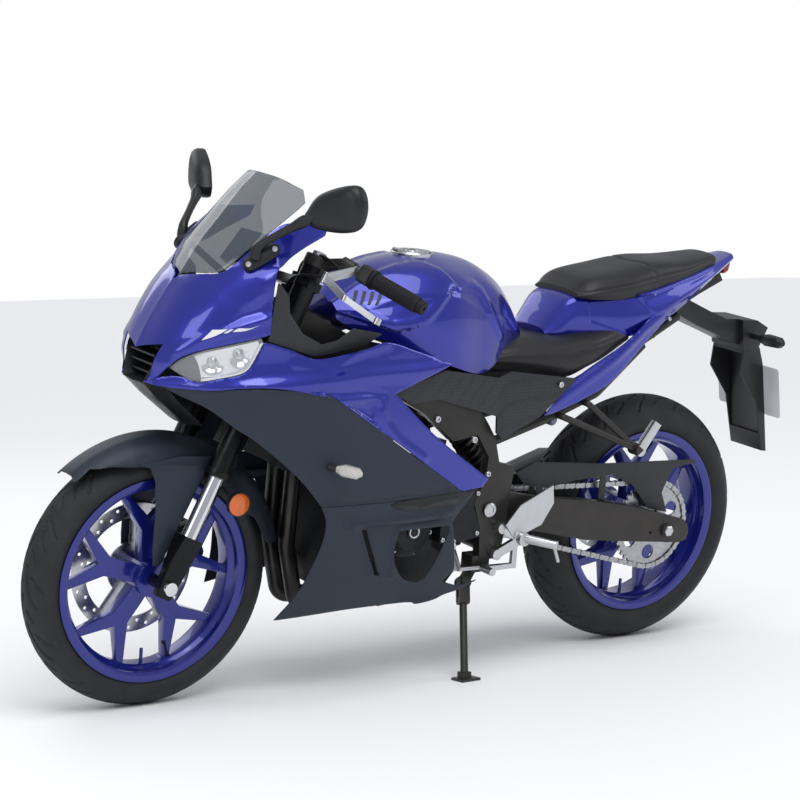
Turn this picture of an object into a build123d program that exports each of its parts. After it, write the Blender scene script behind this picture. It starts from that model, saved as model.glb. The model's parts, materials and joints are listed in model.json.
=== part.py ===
from build123d import *
import os
from math import asin, atan2, cos, degrees, hypot, pi, radians, sin, sqrt, tan

# A sport bike with a full fairing, standing on its side stand. Millimetres.
# It is drawn upright: X forward, Y to the rider's left, Z up, with the origin on the
# ground midway between the axles. At the end every piece leans over with the bike.

# Overall layout
wheelbase = 1380.0
rake = 25.0
trail = 95.0
lean = 9.0
running_gap = 0.05
seat_gap = 0.3

# Tyres: outer radius, width, radius of the round tread and wall thickness
front_tyre_radius = 293.0
front_tyre_width = 112.0
front_crown = 58.0
rear_tyre_radius = 314.0
rear_tyre_width = 142.0
rear_crown = 76.0
tyre_wall = 9.0

# Rims
bead_radius = 216.0
flange_radius = 231.0
front_rim_half = 43.0
rear_rim_half = 57.0
flange_thickness = 4.0
rim_wall = 6.0
wall_bulge = 0.23
well_depth = 12.0
spoke_count = 5
axle_radius = 8.5

# Brakes and chain drive
front_disc_radius = 149.0
rear_disc_radius = 110.0
disc_thickness = 4.5
front_disc_y = -64.0
rear_disc_y = -92.0
disc_band = 34.0
chain_pitch = 15.875
rear_teeth = 43
front_teeth = 14
chain_y = 88.0
chain_gap = 7.4
chain_plate = 1.8
sprocket_thickness = 5.6

# Fork and head
fork_spacing = 95.0
fork_inner_radius = 18.5
fork_outer_radius = 26.0
fork_lug_top = 118.0
fork_outer_bottom = 262.0
lower_clamp_at = 560.0
top_clamp_at = 725.0
clamp_thickness = 26.0
fork_top = 764.0
stem_radius = 14.0
head_radius = 30.0

# Swingarm and frame
pivot_x = -128.0
pivot_z = 414.0
frame_half = 150.0
frame_plate = 26.0
arm_outer = 150.0
arm_width = 30.0

# Skins
panel = 3.0
screen_thickness = 3.5

front_x = wheelbase / 2
rear_x = -wheelbase / 2
lift = 1 / cos(radians(lean)) - 1
front_z = front_tyre_radius + front_crown * lift
rear_z = rear_tyre_radius + rear_crown * lift
front_axle = Vector(front_x, 0, front_z)
rear_axle = Vector(rear_x, 0, rear_z)

# The steering axis meets the ground ahead of the front contact by the trail. Its frame
# has Z up the axis and X forward, with the fork legs at the fork offset.
sin_rake = sin(radians(rake))
cos_rake = cos(radians(rake))
fork_offset = trail * cos_rake - front_z * sin_rake
fork_offset = abs(fork_offset)
steer_origin = front_axle - Vector(fork_offset * cos_rake, 0, fork_offset * sin_rake)
steer = Plane(origin=steer_origin, x_dir=(cos_rake, 0, sin_rake), z_dir=(-sin_rake, 0, cos_rake))

parts = {}


def both(shape):
    """The piece and its mirror image on the other side of the bike."""
    return [shape, mirror(shape, about=Plane.XZ)]


def fuse(*shapes):
    """One solid from several that overlap."""
    flat = []
    for shape in shapes:
        flat.extend(shape if isinstance(shape, (list, tuple)) else [shape])
    return flat[0].fuse(*flat[1:])


def side_prism(points, low, high):
    """A prism over a side-view outline of (x, z) points, from y = low to y = high."""
    wire = Wire.make_polygon([Vector(x, low, z) for x, z in points], close=True)
    return extrude(Face(wire), amount=high - low, dir=(0, 1, 0))


def front_prism(points, low, high):
    """A prism over a front-view outline of (y, z) points, from x = low to x = high."""
    wire = Wire.make_polygon([Vector(low, y, z) for y, z in points], close=True)
    return extrude(Face(wire), amount=high - low, dir=(1, 0, 0))


def plan_prism(points, low, high):
    """A prism over a plan outline of (x, y) points, from z = low to z = high."""
    wire = Wire.make_polygon([Vector(x, y, low) for x, y in points], close=True)
    return extrude(Face(wire), amount=high - low, dir=(0, 0, 1))


def rod(start, end, radius, bore=0.0):
    """A round bar or tube from one point to another."""
    start = Vector(*start)
    end = Vector(*end)
    along = end - start
    plane = Plane(origin=start, z_dir=along)
    solid = plane * Cylinder(radius, along.length, align=(Align.CENTER, Align.CENTER, Align.MIN))
    if bore > 0:
        solid -= plane * Cylinder(bore, along.length, align=(Align.CENTER, Align.CENTER, Align.MIN))
    return solid


def tube(points, radius, bend, bore=0.0):
    """A round tube along straight runs joined by arcs."""
    path = FilletPolyline(*[Vector(*p) for p in points], radius=bend)
    start = Plane(origin=path @ 0, z_dir=path % 0)
    solid = sweep(start * Circle(radius), path=path)
    if bore > 0:
        solid -= sweep(start * Circle(bore), path=path)
    return solid


def bar(start, end, width, height):
    """A rectangular bar from one point to another, its height held upright."""
    start = Vector(*start)
    end = Vector(*end)
    along = end - start
    level = along.cross(Vector(0, 0, 1))
    across = level if level.length > 1 else Vector(0, 1, 0)
    plane = Plane(origin=start, x_dir=across, z_dir=along)
    return plane * Box(width, height, along.length, align=(Align.CENTER, Align.CENTER, Align.MIN))


def parallel(points, gap):
    """The open polyline of (x, y) points, moved by the gap: inward for a path from the nose back."""
    moved = []
    for i, (x, y) in enumerate(points):
        sides = []
        for a, b in ((i - 1, i), (i, i + 1)):
            if a >= 0 and b < len(points):
                dx = points[b][0] - points[a][0]
                dy = points[b][1] - points[a][1]
                length = hypot(dx, dy)
                sides.append((-dy / length, dx / length))
        nx = sum(s[0] for s in sides)
        ny = sum(s[1] for s in sides)
        length = hypot(nx, ny)
        nx, ny = nx / length, ny / length
        reach = gap / max(0.3, nx * sides[0][0] + ny * sides[0][1])
        moved.append((x + nx * reach, y + ny * reach))
    return moved


def band(points, z, thickness):
    """A flat strip along an open polyline, as a face at height z."""
    inner = parallel(points, thickness)
    inner[0] = (inner[0][0], points[0][1])
    outline = list(points) + inner[::-1]
    return Face(Wire.make_polygon([Vector(x, y, z) for x, y in outline], close=True))


def skin(rows, thickness):
    """A left-hand skin lofted through rows of (z, points), its thickness inward."""
    return loft([band(points, z, thickness) for z, points in rows], ruled=True)


def filled(points, z, grow):
    """The whole left half inside a row, moved out by grow, as a face at height z."""
    outer = parallel(points, -grow)
    outline = outer + [(outer[-1][0], 0), (outer[0][0], 0)]
    return Face(Wire.make_polygon([Vector(x, max(y, 0), z) for x, y in outline], close=True))


def curtain(path, thickness, low, high):
    """An upright wall along a plan path from the nose back, its thickness inward."""
    return plan_prism(path + parallel(path, thickness)[::-1], low, high)


def ring(profile, centre):
    """A turned solid: profile points are (distance along the axle, radius)."""
    wire = Wire.make_polygon([Vector(0, y, r) for y, r in profile], close=True)
    return Pos(*centre) * revolve(Face(wire), axis=Axis.Y, revolution_arc=360)


# Wheels

def tyre(radius, width, crown, rim_half, centre):
    """A hollow tyre with a round tread, its beads against the rim flanges."""
    shoulder = 0.92 * width / 2
    tread_centre = radius - crown
    edge_r = tread_centre + sqrt(crown ** 2 - shoulder ** 2)
    bead = rim_half - seat_gap
    inner_crown = crown - tyre_wall
    inner_shoulder = shoulder - tyre_wall
    inner_r = tread_centre + sqrt(inner_crown ** 2 - inner_shoulder ** 2)

    def point(y, r):
        return Vector(0, y, r)

    low = bead_radius + seat_gap
    lip = flange_radius + seat_gap
    belly_r = (edge_r + lip) / 2
    belly_y = (bead + shoulder) / 2 + wall_bulge * (edge_r - lip)
    edges = [
        Line(point(-bead, low), point(-bead, lip)),
        ThreePointArc(point(-bead, lip), point(-belly_y, belly_r), point(-shoulder, edge_r)),
        ThreePointArc(point(-shoulder, edge_r), point(0, radius), point(shoulder, edge_r)),
        ThreePointArc(point(shoulder, edge_r), point(belly_y, belly_r), point(bead, lip)),
        Line(point(bead, lip), point(bead, low)),
        Line(point(bead, low), point(bead - tyre_wall, low)),
        Line(point(bead - tyre_wall, low), point(inner_shoulder, inner_r)),
        ThreePointArc(point(inner_shoulder, inner_r), point(0, radius - tyre_wall),
                      point(-inner_shoulder, inner_r)),
        Line(point(-inner_shoulder, inner_r), point(-bead + tyre_wall, low)),
        Line(point(-bead + tyre_wall, low), point(-bead, low)),
    ]
    face = Face(Wire(edges))
    return Pos(*centre) * revolve(face, axis=Axis.Y, revolution_arc=360)


def spoke_outline(inner, split, outer, root, arm_root, arm_tip, spread):
    """One Y of a cast wheel, pointing up: a stem that splits into two arms.

    Points are (x, z) about the axle. The arms end at plus and minus the spread angle.
    """
    tip_x = outer * sin(radians(spread))
    tip_z = outer * cos(radians(spread))
    crotch = split + arm_root * 1.1
    half = root / 2
    across = arm_tip / 2 * cos(radians(spread))
    rise = arm_tip / 2 * sin(radians(spread))
    right = [(half, inner), (half * 1.1, split), (tip_x + across, tip_z - rise),
             (tip_x - across, tip_z + rise), (0, crotch)]
    left = [(-x, z) for x, z in right[:-1]][::-1]
    return right + left


def rim(half, centre, hub_left, hub_right, hub_radius, depth, bore):
    """A cast wheel: the rim channel, five Y spokes and the hub, about its axle."""
    floor = bead_radius - well_depth
    outer = [(-half - flange_thickness, flange_radius), (-half, flange_radius), (-half, bead_radius),
             (-0.7 * half, bead_radius - 1), (-0.42 * half, floor), (0.42 * half, floor),
             (0.7 * half, bead_radius - 1), (half, bead_radius), (half, flange_radius),
             (half + flange_thickness, flange_radius)]
    inner = [(half + flange_thickness, flange_radius - rim_wall), (half, bead_radius - rim_wall),
             (0.7 * half, bead_radius - rim_wall - 1), (0.42 * half, floor - rim_wall),
             (-0.42 * half, floor - rim_wall), (-0.7 * half, bead_radius - rim_wall - 1),
             (-half, bead_radius - rim_wall), (-half - flange_thickness, flange_radius - rim_wall)]
    channel = ring(outer + inner, (0, 0, 0))
    hub = ring([(hub_right, bore), (hub_right, hub_radius), (hub_left, hub_radius), (hub_left, bore)],
               (0, 0, 0))
    outline = spoke_outline(inner=hub_radius - 6, split=108, outer=floor - 2, root=40,
                            arm_root=20, arm_tip=17, spread=19.5)
    one = side_prism(outline, -depth, depth)
    # Seen along the wheel, the spokes thin from the hub towards the rim.
    taper = ring([(-depth, hub_radius - 8), (-depth, 60), (-0.5 * depth, floor - 1),
                  (0.5 * depth, floor - 1), (depth, 60), (depth, hub_radius - 8)], (0, 0, 0))
    spokes = [Rot(0, 360 / spoke_count * i, 0) * (one & taper) for i in range(spoke_count)]
    valve = rod((0, 0, -floor + 3), (0, 0, -floor + 36), 4)
    whole = fuse(channel, hub, spokes, valve)
    return Pos(*centre) * (whole - rod((0, hub_right - 1, 0), (0, hub_left + 1, 0), bore))


def disc(radius, carrier_radius, y, holes, centre, bore):
    """A brake disc: the drilled band, and the carrier that bolts it to the hub."""
    half = disc_thickness / 2
    inside = radius - disc_band
    rotor = ring([(y - half, inside), (y - half, radius), (y + half, radius), (y + half, inside)],
                 (0, 0, 0))
    for row in range(2):
        at = radius - disc_band * (0.3 + 0.4 * row)
        for i in range(holes):
            turn = 360 / holes * (i + 0.5 * row)
            rotor -= Rot(0, turn, 0) * rod((0, y - half - 1, at), (0, y + half + 1, at), 4)
    carrier = ring([(y - half, bore), (y - half, carrier_radius), (y + half, carrier_radius),
                    (y + half, bore)], (0, 0, 0))
    arms = [Rot(0, 72 * i, 0) * (Pos(0, y, (carrier_radius + inside) / 2)
                                 * Box(22, disc_thickness, inside - carrier_radius + 8))
            for i in range(5)]
    return Pos(*centre) * fuse(rotor, carrier, arms)


front_bore = axle_radius + running_gap
front_hub_left = 38.0
front_hub_right = front_disc_y + disc_thickness / 2
parts["front_tyre"] = tyre(front_tyre_radius, front_tyre_width, front_crown, front_rim_half, front_axle)
parts["front_rim"] = rim(front_rim_half, front_axle, front_hub_left, front_hub_right,
                         40.0, 17.0, front_bore)
parts["front_disc"] = disc(front_disc_radius, 62.0, front_disc_y, 20, front_axle, front_bore)

rear_bore = 10.0 + running_gap
sprocket_y = chain_y - sprocket_thickness / 2
rear_hub_left = sprocket_y
rear_hub_right = rear_disc_y + disc_thickness / 2
parts["rear_tyre"] = tyre(rear_tyre_radius, rear_tyre_width, rear_crown, rear_rim_half, rear_axle)
parts["rear_rim"] = rim(rear_rim_half, rear_axle, rear_hub_left, rear_hub_right,
                        48.0, 20.0, rear_bore)
parts["rear_disc"] = disc(rear_disc_radius, 55.0, rear_disc_y, 14, rear_axle, rear_bore)


# Chain drive

def pitch_radius(teeth):
    return chain_pitch / 2 / sin(pi / teeth)


def sprocket(teeth, y, bore, web):
    """A sprocket cut out between the teeth, with round windows in its web."""
    radius = pitch_radius(teeth)
    outline = []
    for i in range(teeth):
        for turn, reach in ((-0.28, 3.4), (-0.12, -3.6), (0.12, -3.6), (0.28, 3.4)):
            angle = 2 * pi / teeth * (i + turn)
            outline.append(((radius + reach) * sin(angle), (radius + reach) * cos(angle)))
    blank = side_prism(outline, y, y + sprocket_thickness)
    blank -= rod((0, y - 1, 0), (0, y + sprocket_thickness + 1, 0), bore)
    for i in range(web):
        blank -= Rot(0, 360 / web * i, 0) * rod((0, y - 1, 0.66 * radius),
                                                (0, y + sprocket_thickness + 1, 0.66 * radius),
                                                0.17 * radius)
    return blank


parts["rear_sprocket"] = Pos(*rear_axle) * sprocket(rear_teeth, sprocket_y, rear_bore, 6)

# The chain is one fixed loop of side plates with the rollers left open round the
# sprocket, so that the sprocket turns inside it. Its front wraps the engine sprocket.
engine_sprocket = Vector(-52, 0, 412)
chain_half = chain_gap / 2


def chain_loop(grow):
    """The outline of both runs and both wraps, moved out by grow, as (x, z) points."""
    r_rear = pitch_radius(rear_teeth) + grow
    r_front = pitch_radius(front_teeth) + grow
    dx = engine_sprocket.X - rear_axle.X
    dz = engine_sprocket.Z - rear_axle.Z
    along = atan2(dz, dx)
    tilt = asin((r_rear - r_front) / hypot(dx, dz))
    upper = along + pi / 2 - tilt
    lower = along - pi / 2 + tilt

    def at(centre, radius, angle):
        return Vector(centre.X + radius * cos(angle), 0, centre.Z + radius * sin(angle))

    top_rear = at(rear_axle, r_rear, upper)
    top_front = at(engine_sprocket, r_front, upper)
    low_front = at(engine_sprocket, r_front, lower)
    low_rear = at(rear_axle, r_rear, lower)
    nose = at(engine_sprocket, r_front, along)
    tail = at(rear_axle, r_rear, along + pi)
    return Wire([Line(top_rear, top_front), ThreePointArc(top_front, nose, low_front),
                 Line(low_front, low_rear), ThreePointArc(low_rear, tail, top_rear)])


def chain_side(y):
    outer = extrude(Face(chain_loop(7.2)), amount=chain_plate, dir=(0, 1, 0))
    inner = extrude(Face(chain_loop(-4.2)), amount=chain_plate, dir=(0, 1, 0))
    return Pos(0, y, 0) * (outer - inner)


def chain_rollers():
    """The rollers of the two straight runs, one to a pitch."""
    r_rear = pitch_radius(rear_teeth)
    r_front = pitch_radius(front_teeth)
    dx = engine_sprocket.X - rear_axle.X
    dz = engine_sprocket.Z - rear_axle.Z
    along = atan2(dz, dx)
    tilt = asin((r_rear - r_front) / hypot(dx, dz))
    length = hypot(dx, dz) * cos(tilt)
    rollers = []
    for side in (1, -1):
        normal = along + side * (pi / 2 - tilt)
        run = along - side * tilt
        count = int((length - roller_start - roller_end) / chain_pitch)
        for i in range(count):
            reach = roller_start + chain_pitch * i
            x = engine_sprocket.X + r_front * cos(normal) - reach * cos(run)
            z = engine_sprocket.Z + r_front * sin(normal) - reach * sin(run)
            rollers.append(rod((x, chain_low + 0.5, z), (x, chain_high + 0.5, z), 3.6))
    return rollers


roller_start = 80.0
roller_end = 90.0
chain_low = chain_y - chain_half - chain_plate
chain_high = chain_y + chain_half
parts["chain"] = fuse(chain_side(chain_low), chain_side(chain_high), chain_rollers())


# Fork, clamps and bars, drawn in the steering frame

def leg(side):
    """A fork leg: outer tube with its end ring, chromed inner tube."""
    y = side * fork_spacing
    outer = rod((fork_offset, y, fork_outer_bottom), (fork_offset, y, fork_top), fork_outer_radius,
                bore=fork_inner_radius + seat_gap)
    outer += rod((fork_offset, y, fork_outer_bottom), (fork_offset, y, fork_outer_bottom + 16),
                 fork_outer_radius + 3, bore=fork_inner_radius + seat_gap)
    outer += rod((fork_offset, y, fork_top - 6), (fork_offset, y, fork_top), fork_outer_radius)
    outer += rod((fork_offset, y, fork_top - 2), (fork_offset, y, fork_top + 9), 11)
    return outer


def clamp(at, reach, height):
    """A triple clamp: a bridge from the stem to both outer tubes."""
    outline = [(-26, 20), (fork_offset - 20, fork_spacing + reach), (fork_offset + 14, fork_spacing + reach),
               (fork_offset + 30, fork_spacing), (fork_offset + 6, 30), (fork_offset + 6, -30),
               (fork_offset + 30, -fork_spacing), (fork_offset + 14, -fork_spacing - reach),
               (fork_offset - 20, -fork_spacing - reach), (-26, -20)]
    return plan_prism(outline, at - height / 2, at + height / 2)


outer_tubes = [leg(1), leg(-1)]
yokes = [clamp(lower_clamp_at, 32, clamp_thickness), clamp(top_clamp_at, 30, 20)]
stem = rod((0, 0, lower_clamp_at), (0, 0, top_clamp_at + 22), stem_radius)
stem_nut = rod((0, 0, top_clamp_at + 8), (0, 0, top_clamp_at + 24), 18)
parts["fork"] = steer * fuse(outer_tubes, yokes, stem, stem_nut)

lug_width = 22.0
lug_y = fork_spacing


def axle_lug(y, grow=0.0):
    """The cast foot of a fork leg, in the steering frame."""
    return Pos(fork_offset, y, 0) * loft([
        Plane.XY.offset(-26) * Rectangle(34 + grow, lug_width + grow),
        Plane.XY.offset(30) * Rectangle(46 + grow, lug_width + 4 + grow),
        Plane.XY.offset(fork_lug_top) * Rectangle(46 + grow, 2 * fork_inner_radius + 8 + grow)])


sliders = []
for side in (1, -1):
    y = side * lug_y
    inner_tube = rod((fork_offset, y, fork_lug_top - 30), (fork_offset, y, fork_outer_bottom + 120),
                     fork_inner_radius)
    sliders.append(inner_tube + axle_lug(y))
axle_end = lug_y + 24
axle = rod((fork_offset, -axle_end, 0), (fork_offset, axle_end, 0), axle_radius)
nut = rod((fork_offset, axle_end - 13, 0), (fork_offset, axle_end, 0), 15)
spacers = [rod((fork_offset, 44, 0), (fork_offset, lug_y, 0), 14),
           rod((fork_offset, -lug_y, 0), (fork_offset, -lug_y + 20, 0), 14)]
parts["fork_sliders"] = steer * fuse(sliders, axle, nut, spacers)

# Clip-on bars: a forged arm on the fork top, then the bar that sweeps back and down
grip_radius = 17.0
bar_radius = 11.0
grip_end = 196.0
bar_root = Vector(10, 168, 796)
bar_tip = Vector(-90, 350, 770)
bar_along = (bar_tip - bar_root).normalized()


def along_bar(reach):
    return bar_root + bar_along * reach


def handlebar():
    """A clip-on: the clamp ring on the fork top, the forged arm and the bar inside the grip."""
    ring_top = rod((fork_offset, fork_spacing, fork_top + 0.5), (fork_offset, fork_spacing, fork_top + 26),
                   fork_outer_radius + 2)
    arm = bar((fork_offset, fork_spacing - 6, fork_top + 4), bar_root, 26, 22) + ring_top
    arm -= rod((fork_offset, fork_spacing, fork_top - 60), (fork_offset, fork_spacing, fork_top + seat_gap),
               fork_outer_radius + seat_gap)
    arm -= rod((fork_offset, fork_spacing, fork_top - 4), (fork_offset, fork_spacing, fork_top + 10), 12)
    collar = rod(along_bar(-12), along_bar(20), bar_radius + 3)
    return arm + collar + rod(along_bar(10), along_bar(grip_end - seat_gap), bar_radius)


def grip():
    rubber = rod(along_bar(74), along_bar(grip_end), grip_radius, bore=bar_radius + seat_gap)
    flange = rod(along_bar(72), along_bar(78), grip_radius + 5, bore=bar_radius + seat_gap)
    weight = rod(along_bar(grip_end), along_bar(grip_end + 16), grip_radius - 2, bore=4)
    return fuse(rubber, flange, weight)


def switch_box():
    plane = Plane(origin=along_bar(40), x_dir=Vector(0, 0, 1).cross(bar_along), z_dir=bar_along)
    body = plane * Box(42, 40, 31, align=(Align.CENTER, Align.CENTER, Align.MIN))
    return fillet(body.edges(), 6) - rod(along_bar(20), along_bar(90), bar_radius + 2 * seat_gap)


def lever():
    pivot = Vector(50, 172, 748)
    knee = Vector(24, 232, 722)
    tip = Vector(-18, 318, 702)
    up = Vector(0, 0, 1)
    perch = bar(along_bar(27), pivot, 16, 20) - rod(along_bar(-20), along_bar(60), bar_radius + seat_gap)
    perch -= rod(along_bar(-20), along_bar(20 + seat_gap), bar_radius + 3 + seat_gap)
    blade = fuse(bar(pivot, knee, 12, 16), bar(knee, tip, 9, 13), rod(tip - up * 7, tip + up * 7, 8),
                 rod(knee - up * 7, knee + up * 7, 7), rod(pivot - up * 12, pivot + up * 12, 9))
    return fuse(perch, blade)


parts["handlebars"] = [steer * piece for piece in both(handlebar())]
parts["grips"] = [steer * piece for piece in both(grip())]
parts["switch_boxes"] = [steer * piece for piece in both(switch_box())]
parts["hand_levers"] = [steer * piece for piece in both(lever())]


# Front fender: an arch round the tyre, with a leg ahead of each fork tube

fender_gap = 30.0
fender_inner = front_tyre_radius + fender_gap - panel


def fender_arch():
    """The arch turned round the axle, cut to its two ends and its side outline."""
    outer = [(0, fender_inner + panel), (26, fender_inner + panel - 1), (56, fender_inner - 14),
             (76, fender_inner - 50), (80, fender_inner - 78)]
    inner = [(y - (panel if y > 0 else 0), r - panel) for y, r in outer][::-1]
    arch = ring(outer + inner, (0, 0, 0))
    # Side view about the axle: tip, upper line and the lower edge of the arch.
    outline = [(205, 236), (205, 380), (0, 400), (-420, 200), (-330, 60), (-262, 70), (-226, 130),
               (-176, 158), (-120, 236), (-88, 262), (36, 262), (60, 266), (130, 268), (172, 262)]
    return arch & side_prism(outline, -5, 120)


def fender_leg():
    """The side plate that runs down ahead of the fork tube to the axle lug."""
    outline = [(74, 272), (44, 262), (29, 232), (24, 164), (26, 80), (24, 44), (8, 42), (-18, 84),
               (-30, 118), (-92, 240), (-112, 278), (-30, 284)]
    plate = side_prism(outline, 72, 72 + panel)
    return plate


arch_half = fender_arch()
whole_arch = Pos(*front_axle) * fuse(both(arch_half), both(fender_leg()))
tube_room = [rod((fork_offset, s * fork_spacing, 0), (fork_offset, s * fork_spacing, 500),
                 fork_outer_radius + 3 + seat_gap) for s in (1, -1)]
lug_room = [Pos(fork_offset, s * lug_y, 20) * Box(48, lug_width + 24, 240) for s in (1, -1)]
parts["front_fender"] = whole_arch - steer * fuse(tube_room[0], lug_room[0]) \
    - steer * fuse(tube_room[1], lug_room[1])

# The front caliper straddles the right-hand disc behind its fork leg

def caliper(disc_radius, y, angle, length, width):
    """A sliding caliper about the axle: two halves beside the disc and a bridge over it."""
    body = Pos(0, y, disc_radius - 16) * Box(length, width, 66)
    body = fillet(body.edges().filter_by(Axis.Y), 14)
    slot = Pos(0, y, disc_radius - 36) * Box(140, disc_thickness + 9, 82)
    return Rot(0, angle, 0) * (body - slot)


caliper_ear = bar((front_x - 30, -86, front_z + 42), (front_x - 92, -86, front_z + 46), 8, 34)
front_caliper = Pos(*front_axle) * caliper(front_disc_radius, front_disc_y, -68, 92, 52)
parts["front_caliper"] = fuse(front_caliper, caliper_ear) - steer * axle_lug(-lug_y, 2 * seat_gap)


# Frame: steering head, twin spars, pivot plates and cross tubes

head_low = lower_clamp_at + clamp_thickness / 2 + 3
head_high = top_clamp_at - 10 - 3
head_middle = steer.from_local_coords(Vector(0, 0, (head_low + head_high) / 2))
head_x = head_middle.X
head_z = head_middle.Z
stand_pivot = Vector(-84, 134, 236)


def frame_side():
    """The left spar and pivot plate, cut from a wall that follows the plan of the frame."""
    path = [(head_x + 22, 22), (head_x - 53, 66), (150, frame_half), (-230, frame_half)]
    wall = curtain(path, frame_plate, 200, 960)
    side = [(head_x + 9, head_z + 41), (head_x - 53, head_z + 11), (205, 800), (60, 742), (-60, 684),
            (-108, 620), (-132, 585), (-150, 524), (-196, 513), (-188, 442), (-180, 340), (-172, 291), (-114, 293),
            (-107, 373), (-86, 431), (-113, 490), (-117, 540), (-80, 595), (-10, 584),
            (72, 652), (205, 722), (head_x - 53, head_z - 89), (head_x + 22, head_z - 61)]
    return wall & side_prism(side, 0, 200)


inner_face = frame_half - frame_plate
cross_tubes = [rod((-106, -inner_face - 4, 596), (-106, inner_face + 4, 596), 14),
               rod((-165, -inner_face - 4, 306), (-165, inner_face + 4, 306), 13),
               rod((60, -inner_face - 4, 700), (60, inner_face + 4, 700), 16)]
pivot_bolt = fuse(rod((pivot_x, -frame_half - 6, pivot_z), (pivot_x, frame_half + 6, pivot_z), 9.0),
                  both(rod((pivot_x, frame_half - 1, pivot_z), (pivot_x, frame_half + 6, pivot_z), 17)))
head_tube = steer * rod((0, 0, head_low), (0, 0, head_high), head_radius)
head_bore = steer * rod((0, 0, head_low - 60), (0, 0, head_high + 60), stem_radius + running_gap)
parts["main_frame"] = fuse(both(frame_side()), head_tube, cross_tubes, pivot_bolt) - head_bore

# Subframe: an upper and a lower tube each side, joined by cross tubes
rail_radius = 11.0
bridge_radius = 9.0
tail_seat = Vector(-640, 60, 798)
rail_y = inner_face - seat_gap - rail_radius
upper_tube = tube([(-75, rail_y, 630), (-340, 112, 676), (-500, 104, 740), (-720, 78, 840)], rail_radius, 60)
lower_tube = tube([(-128, rail_y, 560), (-300, 116, 612), (-450, 116, 668), (-600, 96, 776)], rail_radius, 60)
seat_bridge = rod((-340, -112, 676), (-340, 112, 676), bridge_radius)
tail_bridge = rod((tail_seat.X, -88, tail_seat.Z), (tail_seat.X, 88, tail_seat.Z), bridge_radius)
parts["subframe"] = fuse(both(upper_tube), both(lower_tube), seat_bridge, tail_bridge)

# Swingarm: two arms that step out past the chain, the pivot sleeve and a bridge
arm_side = [(-98, 444), (-98, 386), (-200, 362), (-304, 342), (-423, 314), (-552, 298),
            (rear_x - 45, 279), (rear_x - 70, 284), (rear_x - 76, 302), (rear_x - 72, 322),
            (rear_x - 58, 336), (-576, 384), (-424, 412), (-334, 422),
            (-200, 444), (-128, 450)]
arm_inner = chain_y + 12
arm_plan = [(-90, arm_inner), (-90, inner_face - 2), (-196, inner_face - 2), (-250, arm_outer),
            (rear_x - 90, arm_outer), (rear_x - 90, arm_outer - arm_width), (-262, arm_outer - arm_width),
            (-204, arm_inner)]
arm = side_prism(arm_side, 0, 200) & plan_prism(arm_plan, 200, 500)
sleeve = rod((pivot_x, -inner_face + 2, pivot_z), (pivot_x, inner_face - 2, pivot_z), 17)
bridge = Pos(-226, 0, 386) * Box(54, 2 * arm_inner + 30, 66)
bridge = fillet(bridge.edges().filter_by(Axis.Y), 12)
shock_foot = side_prism([(-250, 410), (-206, 410), (-214, 446), (-240, 446)], -16, 16)
axle_end_y = arm_outer + 9
rear_bolt = fuse(rod((rear_x, -axle_end_y, rear_z), (rear_x, axle_end_y, rear_z), 10),
                 both(rod((rear_x, arm_outer - 1, rear_z), (rear_x, axle_end_y, rear_z), 17)),
                 rod((rear_x, 98, rear_z), (rear_x, arm_outer - arm_width + 1, rear_z), 16),
                 rod((rear_x, -102, rear_z), (rear_x, -arm_outer + arm_width - 1, rear_z), 16))
swingarm = fuse(both(arm), sleeve, bridge, shock_foot, rear_bolt)
sleeve_bore = rod((pivot_x, -inner_face, pivot_z), (pivot_x, inner_face, pivot_z), 9.0 + seat_gap)
spool = rod((rear_x + 50, arm_outer - 12, 312), (rear_x + 50, arm_outer + 1, 312), 4)
parts["swingarm"] = swingarm - sleeve_bore - spool - mirror(spool, about=Plane.XZ)

# The rear caliper sits on the inner face of the right arm, ahead of the axle
rear_caliper = Pos(*rear_axle) * caliper(rear_disc_radius, rear_disc_y, 58, 70, 38)
rear_ear = Pos(rear_x + 94, -arm_outer + arm_width + seat_gap + 6, 352) * Box(44, 12, 26)
parts["rear_caliper"] = fuse(rear_caliper, rear_ear)

# Shock absorber between the swingarm bridge and the frame's upper cross tube
shock_seat = 446.0 + seat_gap
shock_low = Vector(-236, 0, 436)
shock_high = Vector(-115.5, 0, 584)
coil_steps = 7


def shock():
    """A damper with its spring drawn as stacked rings."""
    along = (shock_high - shock_low)
    body = rod(shock_low, shock_high, 12)
    rings = []
    for i in range(coil_steps):
        low = shock_low + along * (0.2 + 0.1 * i)
        rings.append(rod(low, low + along.normalized() * 7, 27))
    return fuse(body, rings) - Pos(-227, 0, shock_seat - 20) * Box(90, 60, 40)


parts["shock"] = shock()


# Engine: one block at its real place, and the covers that show

engine_half = inner_face - seat_gap
crankcase_side = [(276, 240), (290, 300), (276, 400), (240, 452), (40, 470), (-40, 452), (-98, 372),
                  (-118, 352), (-118, 308), (-95, 303), (-94, 300), (-40, 236), (60, 224), (240, 222)]
block_side = [(100, 452), (240, 440), (292, 600), (276, 650), (170, 690), (136, 640)]
head_block = side_prism(block_side, -105, 105)
engine = fuse(side_prism(crankcase_side, -engine_half, engine_half), head_block)
sprocket_bay = fuse(side_prism([(-130, 200), (-130, 520), (8, 520), (8, 330), (-60, 290)], 70, 160),
                    side_prism([(-200, 380), (-200, 470), (-60, 470), (-60, 380)], -160, 160))
parts["engine"] = engine - sprocket_bay

cover_centre = (111, 0, 391)


def round_cover(radius, y, reach, plug):
    """A stepped round cover that stands out from the crankcase."""
    return ring([(y, 0), (y, radius), (y + reach * 0.62, radius), (y + reach * 0.9, radius * 0.72),
                 (y + reach * 0.9, plug), (y + reach, plug), (y + reach, 0)], cover_centre)


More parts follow.
